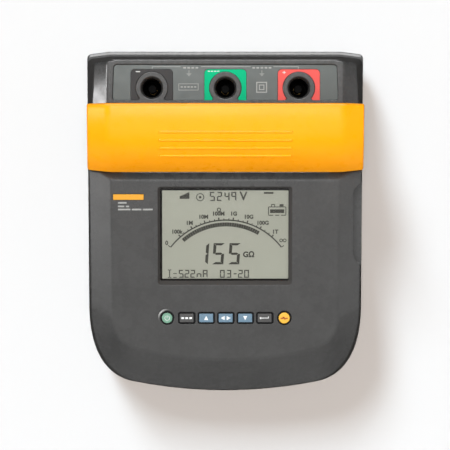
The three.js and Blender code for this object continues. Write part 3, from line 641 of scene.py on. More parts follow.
def front_shell():
    shell = join(lower_block(), top_block())
    cut(shell, trough_tool())
    levels = ((POCKET_FLOOR_Z, -0.8), (POCKET_FLOOR_Z + 0.8, 0), (135, 0))
    cut(shell, plug("pocket", pocket_outline, levels))

    base, facet, crease, _ = lower_rings(WALL)
    hollow = skin("hollow", [base, facet, crease])
    rows = ((119, FRONT_HIGH_Y, FRONT_BASE_Z - 1, 19.5, 2.5, 6), (110.7, 136.6, FRONT_Z - 10.5, 16, 2, 8),
            (CREASE_X, 132.6, FRONT_Z - WALL, 6, 0.5, 3))
    join(hollow, skin("hollow_top", [top_ring(*row, inset=WALL) for row in rows]))
    over, far = 160, 101
    section = [(PANEL_TOP_Y - WALL, over), (PANEL_TOP_Y - WALL, FRONT_Z), (41, FRONT_Z - 22),
               (44, FLOOR_Z - WALL), (92, FLOOR_Z - WALL), (96, FLOOR_Z + 4), (far, FRONT_Z), (far, over)]
    cut(hollow, skin("over_trough", [side_ring(x, section) for x in (-140, 140)]))
    cut(hollow, plug("over_pocket", lambda g: pocket_outline(WALL), ((POCKET_FLOOR_Z - WALL, 0), (135, 0))))
    cut(shell, hollow)

    for x, y in SOCKETS:
        join(shell, plug("sleeve", disc(x, y, COLLAR_RADIUS - 0.4), ((100, 0), (FRONT_Z - 1.5, 0))))
    cut(shell, flared("field", label_field, LABEL_DEPTH, 0.5, top=FRONT_Z))
    edge = 0.6
    rim = [(FRONT_Z - edge + rise, -reach) for rise, reach in quarter(edge)]
    for x, y in SOCKETS:
        join(shell, plug("collar", collar_outline(x, y), [(FRONT_Z - 4, 0), *rim]))
    seat = 9.8
    funnel = 2.6
    slope = (SOCKET_MOUTH - SOCKET_THROAT) / funnel
    edge = 0.8
    start = SOCKET_MOUTH - slope * edge
    mouth = [(start + reach, FRONT_Z - edge + rise) for rise, reach in quarter(edge, 0.15, 6)]
    bore = [(0, 90), (seat, 90), (seat, THROAT_Z - 0.4), (SOCKET_THROAT, THROAT_Z - 0.4),
            (SOCKET_THROAT, FRONT_Z - funnel), *mouth, (mouth[-1][0], FRONT_Z + 3), (0, FRONT_Z + 3)]
    for x, y in SOCKETS:
        cut(shell, lathe("bore", bore, x, y))

    cut(shell, bezel_tool())
    for index in range(len(KEYS)):
        outline = lambda grow, index=index: key_outline(index, grow + KEY_MARGIN) + OPENING_SHIFT
        cut(shell, flared("key_opening", outline, 8, 0.45, PANEL))
    cut(shell, flared("indicator_slot", lambda g: crescent_outline(g + 0.12), 8, 0.15, PANEL))
    cut(shell, flared("badge_recess", BADGE, 0.8, 0.25, PANEL))
    inlet_y, inlet_z = INLET[1], INLET[2]
    hole = rectangle(inlet_y - 11, inlet_z - 6.5, inlet_y + 11, inlet_z + 6.5, 4)
    window = rectangle(9, inlet_z - 4.5, 21, inlet_z + 4.5, 1.5)
    for outline in (hole, window):
        cut(shell, flared("side_opening", outline, 8, 0.4, ALONG_X, top=POCKET_X))
    return shell


def seal():
    def ring(inset, z):
        return case_ring(FRONT_HALF - inset, FRONT_HIGH_Y + 0.4 - inset, FRONT_LOW_Y + inset, z)

    low, high = SPLIT_Z + 0.2, FRONT_BASE_Z - 0.2
    rings = [ring(1.2, low), ring(1.0, low + 0.25), ring(1.0, high - 0.25), ring(1.2, high)]
    rings += [ring(2.7, high), ring(2.7, low)]
    return skin("seal_strip", rings, closed=True)


# ---- Handle ----

HANDLE_FOOT_Z = HANDLE_LOW[2]
FACE_LOW_Y = HANDLE_LOW[1] - 0.4
HAND_HALF_WIDTH = 88.0
HAND_TOP_Z = 131.0
FACE_START_Y = 88  # where the face begins to fall from the crest
FACE_TURN_Y = 66
FACE_LEAN = (10.94, 156.77)  # control point of the face near its low edge
FACE_FOOT_Z = 131


def unit(way):
    return way / np.linalg.norm(way)


def evenly(points, count):
    """The same run of points, resampled to a count."""
    old, new = np.linspace(0, 1, len(points)), np.linspace(0, 1, count)
    return np.column_stack([np.interp(new, old, points[:, k]) for k in (0, 1)])


def handle_profile(drop, inset=0.0):
    """Side profile of the handle in (y, z). drop lowers the crest."""
    foot = HANDLE_FOOT_Z
    crest = CREST_Z - drop - inset
    low = FACE_LOW_Y + inset + 0.2 * drop
    high = HANDLE_HIGH[1] - inset
    face_foot = np.array((low, FACE_FOOT_Z - 0.3 * drop))
    far_edge, lower_edge = 4.5, 1.6
    crest_start = (min(FACE_START_Y, high - far_edge - 1.5), crest)
    lean = np.array((low + FACE_LEAN[0], FACE_LEAN[1] - 0.8 * drop - 0.6 * inset))
    start, end = np.array((52.0 + inset, foot)), np.array((87.0 - inset, foot))
    back_top, edge_start = (high, 147 - inset - 0.4 * drop), (high, crest - far_edge)
    edge_end = (high - far_edge, crest)
    before = face_foot + lower_edge * unit(lean - face_foot)
    after = face_foot + lower_edge * unit(start - face_foot)
    face = curve((crest_start, (FACE_TURN_Y, crest), lean, face_foot), 40)
    face = face[face[:, 1] > face_foot[1] + lower_edge + 0.3]
    back = chain(((after, start), 8), ((start, end), 6), ((end, back_top), 10), ((back_top, edge_start), 4),
                 ((edge_start, (high, crest), edge_end), 12), ((edge_end, crest_start), 4))
    return np.concatenate((back, evenly(face, 36), curve((before, face_foot, after), 6)))


def handle_station(half, drop, drafted, inset=0.0, profile_inset=0.0):
    flat = handle_profile(drop, inset + profile_inset)
    x = half - 0.063 * (flat[:, 1] - FLOOR_Z) if drafted else np.full(len(flat), half)
    return np.column_stack((x * taper(flat[:, 0]), flat))


def handle_form(inset=0.0):
    """Outer form of the handle. The ends slope down like the case's facets."""
    crease = handle_station(CREASE_X, 0, False, inset)
    outer = handle_station(117.6 - inset, 10, True, inset)
    if inset:
        half = [crease, outer]
    else:
        middle = handle_station(CREASE_X - 40, 0, False)
        cap = handle_station(117.6, 10, True, 0, 4.0)
        half = rounded([middle, crease, outer, cap], (4, 2.0))
        half.append(handle_station(117.6, 10, True, 0, 9.0))
    mirrored = [ring * (-1, 1, 1) for ring in half[::-1]]
    return skin("handle", mirrored + half)


def hand_outline(grow=0.0):
    width = HAND_HALF_WIDTH + grow
    return rectangle(-width, 60, width, HAND_TOP_Z + grow, 18 + grow, 14)()


def hand_tool(grow=0.0):
    return plug("hand", lambda g: hand_outline(grow + g), ((-115, 0), (-25, 0)), ALONG_Y)


def rib(y, z, normal):
    """One raised grip bar along the handle's face."""
    half, width, height = 53.6, 1.0, 1.15
    across = np.array((-normal[1], normal[0]))
    turn = np.linspace(0, math.pi, 9)
    middle = np.array((y, z))
    base = middle - normal
    section = [middle + across * width * math.cos(a) + normal * height * (math.sin(a) ** 0.7) for a in turn]
    section = np.array(section + [base - across * width, base + across * width])
    ends = ((0.7, 0.35), (0.4, 0.75), (0, 1.0))
    stations = [(-half - past, share) for past, share in ends]
    stations += [(half + past, share) for past, share in reversed(ends)]
    rings = []
    for x, share in stations:
        rings.append(side_ring(x, base + (section - base) * share))
    return skin("rib", rings)


RIB_Y = (72.5, 66.0, 59.8, 53.8)


def rib_place(y):
    """Height and outward normal of the handle's face at a given y."""
    lean = (FACE_LOW_Y + FACE_LEAN[0], FACE_LEAN[1])
    crest, turn = (FACE_START_Y, CREST_Z), (FACE_TURN_Y, CREST_Z)
    face = curve((crest, turn, lean, (FACE_LOW_Y, FACE_FOOT_Z)), 400)[::-1]
    step = 0.3
    z, next_z = np.interp((y, y + step), face[:, 0], face[:, 1])
    return z, unit(np.array((z - next_z, step)))


def grip_shell():
    shell = handle_form()
    for y in RIB_Y:
        z, normal = rib_place(y)
        join(shell, rib(y, z, normal))
    cut(shell, hand_tool(), handle_form(WALL))
    return shell


def grip_liner():
    liner = keep_common(handle_form(WALL + 0.3), hand_tool(WALL))
    levels = ((HANDLE_FOOT_Z, 0), (HANDLE_FOOT_Z + 13, 0))
    block = plug("block", rectangle(-130, 40, 130, 110, 1), levels)
    join(liner, keep_common(handle_form(WALL + 0.3), block))
    cut(liner, hand_tool())
    return liner


# ---- Sockets ----


def shroud(x, y):
    top = span("socket_shroud_guard")[1][2]
    profile = [(3.4, 78), (9.5, 78), (9.5, 96.5), (12.4, 96.5), (12.4, 99.7), (9.5, 99.7), (9.5, top - 0.4),
               (9.1, top), (8.1, top), (7.6, top - 0.5), (7.6, 80.5), (3.4, 80.5)]
    return lathe("shroud", profile, x, y)


def contact(x, y):
    top = span("socket_contact_guard")[1][2]
    profile = [(0, 64), (2.2, 64), (2.2, 72), (5.5, 72), (5.5, 77.6), (3.1, 77.6), (3.1, top - 0.5),
               (2.7, top), (2.4, top), (2.05, top - 0.4), (2.05, 84), (0, 84)]
    return lathe("contact", profile, x, y, 40)


def contact_cap(x, y):
    """Insulating cap on the tip of a contact. Its near-black colour and long skirt hide the brass, as
    painted shade in the bore.
    """
    top = span("socket_contact_guard")[1][2]
    profile = [(0, top + 0.05), (1.9, top + 0.05), (1.9, top - 2.5), (3.15, top - 7), (3.6, top - 6.6),
               (3.6, top + 0.2), (3.1, top + 0.9), (0, top + 1.1)]
    return lathe("cap", profile, x, y, 40)


def label_outline(x):
    """Label plate with round far corners."""

    def outline(grow=0.0):
        half, low, high, radius = 17.5 + grow, 101.2 - grow, 127 + grow, 3.5 + grow
        corner = radius * round_points(np.linspace(0, math.pi / 2, 9))
        right = (x + half - radius, high - radius) + corner
        left = (x - half + radius, high - radius) + corner[:, ::-1] * (-1, 1)
        return np.concatenate(([(x - half, low), (x + half, low)], right, left))

    return outline


def label(x, y):
    top = span("terminal_label_guard")[1][2]
    plate = plug("label", label_outline(x), ((top - 1.1, 0), (top - 0.15, 0), (top, -0.15)))
    return cut(plate, plug("round", lambda g: collar_outline(x, y)(0.3), ((100, 0), (125, 0))))


def field_plate():
    top = span("terminal_panel")[1][2]
    levels = ((top - 0.9, 0), (top - 0.15, 0), (top, -0.15))
    plate = plug("field_plate", lambda g: label_field(g - 0.25), levels)
    for x, _ in SOCKETS:
        cut(plate, plug("gap", lambda g: label_outline(x)(0.3), ((100, 0), (125, 0))))
    return plate


# ---- Keys ----


CAP_INSET = 0.3
# Below CAP_BASE a key is painted dark, as painted shade in the gap round it.
CAP_BASE = 0.2  # height over the panel at which the dark body of a key gives way to its coloured cap


def shade_key_body(cap):
    """Painted shade: everything under the coloured cap is dark, to deepen the shadow in the gap round the
    key.
    """
    cap.data.materials.append(MATERIALS["inner_black"])
    to_panel = PANEL.inverted()
    for face in cap.data.polygons:
        face.material_index = int((to_panel @ (face.center / MM)).z < CAP_BASE)


def key_cap(index):
    """Key with a crowned top, a flange under the panel and a plunger."""
    top = 1.1
    flange = -WALL - 0.4
    wide = 2.1 if KEYS[index] in ("power_key", "test_key") else 1.6
    levels = [(flange - 1, wide), (flange, wide), (flange, 0), (CAP_BASE, 0), (top - 0.5, 0)]
    levels += [(top - 0.5 + 0.76 * rise, -reach) for rise, reach in quarter(0.5)[1:]]
    levels += [(top - 0.07, -1.0), (top - 0.03, -1.7), (top, -2.6)]
    cap = plug(KEYS[index] + "_cap", lambda grow: key_outline(index, grow - CAP_INSET), levels, PANEL)
    x, y = KEY_POINTS[index]
    return join(cap, plug("plunger", disc(x, y, 2.2, 32), ((flange - 1.8, 0), (flange - 0.5, 0)), PANEL))


# ---- Flat marks: prints and display segments ----


def slab(name, outlines, low, high, matrix=None):
    """Thin flat shapes as one object."""
    levels = ((low, 0), (high, 0))
    return merge(name, [plug(name, lambda g, flat=flat: np.array(flat, float), levels, matrix)
                        for flat in outlines])


def stroke(points, width):
    """A straight-sided stroke along a line of points, one quad for each stretch."""
    quads = []
    for start, end in zip(points, points[1:]):
        start, end = np.array(start, float), np.array(end, float)
        along = (end - start) / np.linalg.norm(end - start)
        side = np.array((-along[1], along[0])) * width / 2
        start, end = start - along * width * 0.02, end + along * width * 0.02
        quads.append([start - side, end - side, end + side, start + side])
    return quads


def bars(weight, *ends):
    """Straight bars of one weight, each given as (x0, y0, x1, y1)."""
    return [quad for x0, y0, x1, y1 in ends for quad in stroke(((x0, y0), (x1, y1)), weight)]


def ring_band(x, y, inner, outer, first, last, steps):
    """Flat outline of an arc band. Angles run clockwise from the top."""
    way = round_points(np.radians(np.linspace(first, last, steps)))[:, ::-1]
    return np.concatenate(((x, y) + outer * way, ((x, y) + inner * way)[::-1]))


GLYPHS = {"0": "abcdef", "1": "bc", "2": "abged", "3": "abgcd", "4": "fgbc", "5": "afgcd", "9": "abfgc",
          "A": "abcefg", "n": "ceg", "-": "g"}


def glyph(sign, left, bottom, width, height, weight, slant, bar):
    """Seven-segment strokes of one sign, mitred where they meet. bar is the share of the weight that
    the level strokes have."""
    right, top, middle = left + width, bottom + height, bottom + height / 2
    level = weight * bar
    gap = 0.05 * weight
    low, high = middle - level / 2, middle + level / 2
    half = height / 2
    post = [(0, 0), (weight, level), (weight, half - level / 2), (weight / 2, half), (0, half)]
    beam = [(0, 0), (width, 0), (width - weight, level), (weight, level)]
    waist = [(left + weight / 2, middle), (left + weight, high), (right - weight, high),
             (right - weight / 2, middle), (right - weight, low), (left + weight, low)]
    forms = {
        "a": [(left + x, top - y) for x, y in beam],
        "b": [(right - x, top - y) for x, y in post],
        "c": [(right - x, bottom + y) for x, y in post],
        "d": [(left + x, bottom + y) for x, y in beam],
        "e": [(left + x, bottom + y) for x, y in post],
        "f": [(left + x, top - y) for x, y in post],
        "g": waist,
    }
    shapes = []
    for name in GLYPHS[sign]:
        flat = np.array(forms[name], float)
        middle_point = flat.mean(axis=0)
        reach = np.abs(flat - middle_point).max(axis=0)
        flat = middle_point + (flat - middle_point) * (1 - gap / reach)
        flat[:, 0] += (flat[:, 1] - bottom) * slant
        shapes.append(flat)
    return shapes


def text_piece(words, size, x, y, low, high, matrix, weight):
    """Small lettering as a thin solid, centred on (x, y)."""
    name = "lettering"
    data = bpy.data.curves.new(name, "FONT")
    data.body = words
    data.size = size
    data.align_x = "CENTER"
    data.align_y = "CENTER"
    data.resolution_u = 3
    data.offset = weight
    holder = place(name, data)
    bpy.context.view_layer.update()
    flat = bpy.data.meshes.new_from_object(holder.evaluated_get(bpy.context.evaluated_depsgraph_get()))
    bpy.data.objects.remove(holder)
    solid = bmesh.new()
    solid.from_mesh(flat)
    bmesh.ops.remove_doubles(solid, verts=solid.verts, dist=1e-4)
    grown = bmesh.ops.extrude_face_region(solid, geom=list(solid.faces))
    for element in grown["geom"]:
        if isinstance(element, bmesh.types.BMVert):
            element.co.z = high - low
    bmesh.ops.recalc_face_normals(solid, faces=solid.faces)
    solid.transform(matrix @ Matrix.Translation((x, y, low)))
    bmesh.ops.scale(solid, vec=(MM, MM, MM), verts=solid.verts)
    return place_shape(name, solid)


DISPLAY_ORIGIN = (0.0, -47.0)  # the middle of the display, in panel coordinates
SCALE_CENTRE = (0.6, -46.3)  # centre of the display's arc scale, from the middle of the display
SCALE_RADIUS = 58.6
SCALE_END = 52.6  # degrees from the middle of the scale to its ends
DECADES = ("100k", "1M", "10M", "100M", "1G", "10G", "100G", "1T")
DECADE = 11.65  # degrees between the labelled ticks
DECADE_TURNS = [(step - 3.5) * DECADE for step in range(len(DECADES))]
# Signs and their left edges, then bottom, width, height, weight, slant and share of level strokes.
READINGS = (
    ("155", (-24.2, -11.2, 2.2), (-25.3, 9.6, 18.2, 2.7, 0.07, 0.8)),
    ("5249", (-13.1, -7.1, -0.8, 4.9), (28.3, 4.4, 7.8, 1.2, 0.0, 0.95)),
    ("522nA", (-39.2, -34.4, -29.5, -24.2, -19.0), (-36.6, 4.1, 6.8, 1.05, 0.0, 1.0)),
    ("03-20", (-4.6, 0.9, 6.2, 10.6, 15.8), (-36.6, 4.1, 6.8, 1.05, 0.0, 1.0)),
)


def scale_shapes():
    """Analogue scale: fine arc, ticks and a thick bar that stops at the reading."""
    x, y = SCALE_CENTRE
    r = SCALE_RADIUS

    def tick(turn, far, half):
        return ring_band(x, y, r + 0.4, r + far, turn - half, turn + half, 2)

    shapes = [ring_band(x, y, r - 0.55, r + 0.55, -SCALE_END, SCALE_END, 90)]
    shapes += [tick(turn, 2.6, 0.35) for turn in (-SCALE_END, SCALE_END)]
    shapes += [tick(turn, 2.4, 0.5) for turn in DECADE_TURNS]
    for share in (0.35, 0.7):
        shapes += [tick(turn + share * DECADE, 1.4, 0.38) for turn in DECADE_TURNS[:-1]]
    turns, step = np.linspace(-41.2, 30.1, 34, endpoint=False, retstep=True)
    gap = 0.07
    return shapes + [ring_band(x, y, r - 5.4, r - 2.0, turn + gap, turn + step - gap, 4) for turn in turns]


def battery_shapes():
    left, right, low, high = 36.2, 50.8, 16.4, 23.4
    case = [(left + 0.35, high, right - 0.35, high), (left + 2.3, 25.4, left + 5.5, 25.4)]
    case += [(x, low + 0.4, x, high) for x in (left, right)]
    case += [(left, low, left + 4, low), (left + 5.6, low, right - 5.6, low), (right - 4, low, right, low)]
    shapes = bars(0.7, *case)
    shapes += bars(0.6, *((x, 23.8, x, 25.0) for x in (left + 2.6, left + 5.2)))
    shapes += bars(3.1, (left + 1.4, 19.8, right - 1.4, 19.8))
    return shapes + bars(1.9, (right - 5.3, 24.8, right - 2.0, 24.8))


def display_shapes():
    shapes = scale_shapes() + battery_shapes()
    for signs, lefts, form in READINGS:
        for sign, left in zip(signs, lefts):
            shapes += glyph(sign, left, *form)
    # Letter I and an equals sign at the start of the lower row
    shapes += bars(0.8, (-46.9, -36.4, -46.9, -29.9))
    shapes += bars(0.75, *((x, y, x + 0.95, y) for y in (-36.4, -29.9) for x in (-48.3, -46.45)))
    shapes += bars(0.7, *((-43.8, y, -40.9, y) for y in (-33.0, -36.3)))
    # Sign for a reading off the scale, made of two loops
    shapes += [ring_band(x, -4.9, 0.85, 1.55, 0.5, 359.5, 24) for x in (46.9, 49.9)]
    # Signal wedge, round status sign and a small bar
    shapes.append([(-38.3, 30.2), (-30.1, 30.2), (-30.1, 36.0), (-38.3, 32.3)])
    shapes.append(ring_band(-21.1, 31.6, 2.7, 3.4, 0.5, 359.5, 40))
    shapes.append(ring_band(-21.1, 31.6, 0.02, 1.1, 0.5, 359.5, 20))
    return shapes + bars(1.5, (32.3, 35.2, 40.3, 35.2))


def scale_spot(turn, reach, squeeze=1.0):
    """Where a label stands round the scale, at an angle in degrees and a distance past the arc."""
    x, y = SCALE_CENTRE
    turn, reach = math.radians(turn), SCALE_RADIUS + reach
    return x + reach * math.sin(turn) * squeeze, y + reach * math.cos(turn)


def display_marks(low, high):
    """Everything dark on the display, as one object."""
    at = PANEL @ Matrix.Translation((*DISPLAY_ORIGIN, 0))
    words = [(text, 4.6, *scale_spot(turn, 5.6, 0.985), 0.2) for text, turn in zip(DECADES, DECADE_TURNS)]
    words += [("0", 5.0, *scale_spot(-51.9, 4.8), 0.18), ("Ω", 4.6, -5.4, 20.6, 0.16),
              ("GΩ", 6.4, 19.6, -17.0, 0.26), ("V", 10.4, 15.2, 32.2, 0.2)]
    parts = [text_piece(text, size, x, y, low, high, at, weight) for text, size, x, y, weight in words]
    return merge("display_marks", [slab("segments", display_shapes(), low, high, at), *parts])


def icon_shapes(name, x, y):
    """Generic signs on the keys."""
    if name == "power_key":
        return [ring_band(x, y, 1.75, 2.2, 35, 325, 36)] + bars(0.5, (x, y + 0.1, x, y + 2.3))
    if name == "up_key":
        return [[(x - 1.75, y - 1.65), (x + 1.75, y - 1.65), (x, y + 1.85)]]
    if name == "down_key":
        return [[(x, y - 1.85), (x + 1.75, y + 1.65), (x - 1.75, y + 1.65)]]
    if name == "left_right_key":
        return [[(x - 4.2, y), (x - 0.85, y - 1.75), (x - 0.85, y + 1.75)],
                [(x + 4.2, y), (x + 0.85, y + 1.75), (x + 0.85, y - 1.75)]]
    if name == "function_key":
        middles = (x - 3.4, x, x + 3.4)
        return [rectangle(at - 1.15, y - 0.75, at + 1.15, y + 0.75, 0.2, 3)() for at in middles]
    if name == "enter_key":
        shapes = bars(0.55, (x - 3.1, y, x + 3.4, y)) + bars(0.5, (x + 3.15, y + 0.29, x + 3.15, y + 1.5))
        return shapes + [[(x - 4.4, y), (x - 3.0, y - 1.1), (x - 3.0, y + 1.1)]]
    pulse = ((-3.0, -0.3), (-1.2, -0.3), (-0.5, 1.0), (0.5, -1.0), (1.2, -0.3), (3.0, -0.3))
    return stroke([(x + dx, y + dy) for dx, dy in pulse], 1.2)


def field_shapes():
    """White prints round the sockets: range lines, earth signs, a double square and a small box."""
    left, middle, right = (s[0] for s in SOCKETS)
    top = 129.2
    shapes = bars(0.5, (left + 0.3, top - 0.2, left + 0.3, top - 1.9), (left + 0.05, top, left + 24, top),
                  (left + 41, top, middle + 21, top), (middle + 40, top, right - 0.15, top),
                  (right - 0.4, top - 0.2, right - 0.4, top - 1.9))
    for x, dots in ((left + 32.5, 4), (middle + 30.5, 5)):
        for i in range(dots):
            at = x + (i - (dots - 1) / 2) * 3.4
            shapes += bars(1.3, (at - 1.1, top - 0.9, at + 1.1, top - 0.9))
    for x in (left + 31, middle + 30.5):
        earth = ((2.0, 123.3), (1.25, 122.5), (0.6, 121.7))
        shapes += bars(0.4, (x, 126.2, x, 123.6), *((x - wide, y, x + wide, y) for wide, y in earth))
    box_x, square_x = left + 30.6, middle + 30.3
    shapes += frame_shapes(box_x, 112.3, 8.1, 2.6, 0.45)
    shapes += bars(1.1, *((x - 0.9, 112.3, x + 0.9, 112.3) for x in box_x + 2.8 * np.arange(-2, 3)))
    for reach, weight in ((4.1, 0.95), (1.9, 0.8)):
        shapes += frame_shapes(square_x, 112.0, reach, reach, weight)
    return shapes


def frame_shapes(x, y, wide, tall, weight):
    """Four bars of a rectangular frame."""
    half = weight / 2
    shapes = []
    for side in (-1, 1):
        level, upright = y + side * tall, x + side * wide
        shapes += bars(weight, (x - wide - half, level, x + wide + half, level),
                       (upright, y - tall + half, upright, y + tall - half))
    return shapes


def label_shapes(side, x):
    """White marks on a socket's label: a minus, a plus or a row of blank bars."""
    if side == "negative":
        return bars(0.8, (x - 13.4, 125.1, x - 9.9, 125.1))
    if side == "positive":
        return bars(0.6, (x - 13.7, 124.4, x - 10.9, 124.4), (x - 12.3, 124.7, x - 12.3, 125.6),
                    (x - 12.3, 123.2, x - 12.3, 124.1))
    return [rectangle(x - 14.6 + i * 2.6, 125.0, x - 12.8 + i * 2.6, 125.8, 0.1, 2)() for i in range(4)]


def badge_lines():
    """Short blank bars in place of the lettering under the badge."""
    rows = ((-19.6, -89.8, -82.5), (-22.6, -89.8, -84.5), (-22.6, -83.2, -80.4), (-25.2, -89.8, -79.4),
            (-25.2, -78.2, -70.2), (-25.2, -69.0, -60.8))
    return [rectangle(x0, y - 0.65, x1, y + 0.65, 0.2, 2)() for y, x0, x1 in rows]


# ---- Materials ----


class Nodes:
    """Builds the node tree of a material or a world."""

    def __init__(self, owner):
        owner.use_nodes = True
        self.tree = owner.node_tree

    def feed(self, socket, value):
        """Links an input to another node's output, or sets its value."""
        if isinstance(value, bpy.types.NodeSocket):
            self.tree.links.new(value, socket)
        else:
            socket.default_value = value

    def fill(self, node, *inputs, **values):
        """Fills the first inputs in order, then those named with a capital and _ for a space. A name in
        small letters sets an attribute."""
        for index, value in enumerate(inputs):
            self.feed(node.inputs[index], value)
        for key, value in values.items():
            if key[0].islower():
                setattr(node, key, value)
            else:
                self.feed(node.inputs[key.replace("_", " ")], value)
        return node

    def node(self, kind, *inputs, **values):
        return self.fill(self.tree.nodes.new("ShaderNode" + kind), *inputs, **values)


class Look(Nodes):
    """Builds one node material on the object's own coordinates."""

    def __init__(self, name):
        self.material = bpy.data.materials.new(name)
        super().__init__(self.material)
        self.coordinates = self.node("TexCoord").outputs["Object"]

    def finish(self, **values):
        """Fills the surface's inputs and hands the material over."""
        self.fill(self.tree.nodes["Principled BSDF"], **values)
        return self.material

    def noise(self, size_mm, detail=3.0, roughness=0.55):
        """Noise whose features measure about size_mm."""
        noise = self.node("TexNoise", Scale=1000.0 / size_mm, Detail=detail, Roughness=roughness,
                          Vector=self.coordinates)
        return noise.outputs["Fac"]

    def spread(self, source, low, high, start=0.3, end=0.7):
        """Maps a value from start..end to low..high."""
        node = self.node("MapRange", Value=source, From_Min=start, From_Max=end, To_Min=low, To_Max=high)
        return node.outputs["Result"]

    def mix(self, share, first, second):
        node = self.node("Mix", share, data_type="RGBA")
        self.feed(node.inputs[6], first)
        self.feed(node.inputs[7], second)
        return node.outputs[2]

    def patchy(self, size_mm, detail, first, second):
        """Two colours mixed in soft patches."""
        return self.mix(self.spread(self.noise(size_mm, detail), 0, 1), first, second)

    def edges(self, radius_mm):
        """Rounded normal at edges, and how near an edge a point lies."""
        rounding = self.node("Bevel", samples=6, Radius=radius_mm * MM).outputs["Normal"]
        normal = self.node("NewGeometry").outputs["Normal"]
        dot = self.node("VectorMath", rounding, normal, operation="DOT_PRODUCT")
        return rounding, self.spread(dot.outputs["Value"], 1.0, 0.0, 0.82, 0.995)

    def bump(self, height, depth_mm, **more):
        return self.node("Bump", Distance=depth_mm * MM, Height=height, **more).outputs["Normal"]


def tint(colour, factor=1.0, lift=0.0):
    """A colour made lighter or darker, with an alpha."""
    return (*(min(1.0, part * factor + lift) for part in colour), 1.0)


def moulded(name, colour, roughness=0.5, grain=0.35, depth=0.012, mottle=0.06, wear=0.25, specular=0.5):
    """Moulded plastic or rubber: fine grain, slight colour and gloss variation, and paler worn edges."""
    s = Look(name)
    base = s.patchy(26, 4, tint(colour, 1 - mottle), tint(colour, 1 + mottle, 0.002))
    normal, near = s.edges(0.45)
    scuffs = s.spread(s.noise(5, 5, 0.7), 0, wear, 0.4, 0.72)
    worn = s.node("Math", near, scuffs, operation="MULTIPLY").outputs[0]
    fine = s.noise(grain, 4, 0.6)
    patches = s.spread(s.noise(9, 5), -0.05, 0.06)
    gloss = s.node("Math", patches, s.spread(fine, roughness - 0.04, roughness + 0.04), operation="ADD")
    return s.finish(Base_Color=s.mix(worn, base, tint(colour, 1.5, 0.05)), Roughness=gloss.outputs[0],
                    Normal=s.bump(fine, depth, Normal=normal), Specular_IOR_Level=specular)


def metallic(name, colour, roughness):
    """Machined or plated metal with a fine texture and dull patches."""
    s = Look(name)
    fine = s.noise(0.5, 4, 0.6)
    normal, _ = s.edges(0.15)
    return s.finish(Base_Color=s.patchy(3, 4, tint(colour), tint(colour, 0.72)), Metallic=1.0,
                    Roughness=s.spread(fine, roughness - 0.08, roughness + 0.12),
                    Normal=s.bump(fine, 0.004, Normal=normal))


def printed(name, colour, roughness=0.55):
    """Pad-printed ink, slightly uneven."""
    s = Look(name)
    return s.finish(Base_Color=s.patchy(1.2, 4, tint(colour), tint(colour, 0.88)),
                    Roughness=s.spread(s.noise(0.4), roughness - 0.06, roughness + 0.06))


def board(name):
    """Circuit board: solder mask with fine tracks."""
    s = Look(name)
    brick = s.node("TexBrick", s.coordinates, Scale=160, Mortar_Size=0.03, Color1=(0.012, 0.12, 0.04, 1),
                   Color2=(0.01, 0.09, 0.032, 1), Mortar=(0.03, 0.22, 0.08, 1))
    return s.finish(Base_Color=brick.outputs["Color"], Roughness=s.spread(s.noise(2), 0.25, 0.4),
                    Normal=s.bump(brick.outputs["Fac"], 0.03))


def clear_window(name):
    """Clear acrylic: mostly see-through, with a soft reflection."""
    s = Look(name)
    see = s.node("BsdfTransparent", Color=(1, 1, 1, 1))
    shine = s.node("BsdfGlossy", Color=(1, 1, 1, 1), Roughness=s.spread(s.noise(8, 5, 0.6), 0.05, 0.12))
    share = s.node("Fresnel", IOR=1.45).outputs["Fac"]
    blend = s.node("MixShader", share, see.outputs[0], shine.outputs[0])
    s.fill(s.tree.nodes["Material Output"], Surface=blend.outputs[0])
    return s.material


def highlighted_crescent(name):
    """Crescent with a painted highlight: palest in its middle, towards the upper left, and darker towards
    its ends.
    """
    s = Look(name)
    x, y = KEY_POINTS[0]
    # Spot of the painted highlight, where the crescent is palest
    highlight_spot = PANEL @ Vector((x - 4.9, y + 4.9, 0.4)) * MM
    away = s.node("VectorMath", s.coordinates, highlight_spot, operation="DISTANCE")
    share = s.spread(away.outputs["Value"], 0.0, 1.0, 0.8 * MM, 6.2 * MM)
    return s.finish(Base_Color=s.mix(share, (0.36, 0.365, 0.36, 1), (0.075, 0.076, 0.075, 1)),
                    Roughness=s.spread(s.noise(0.5), 0.28, 0.36))


def crystal(name):
    """Reflective liquid crystal cell: grey-green, a little uneven."""
    s = Look(name)
    return s.finish(Base_Color=s.patchy(40, 3, (0.295, 0.299, 0.248, 1), (0.28, 0.285, 0.236, 1)),
                    Roughness=s.spread(s.noise(0.3, 2), 0.42, 0.52), Specular_IOR_Level=0.3)


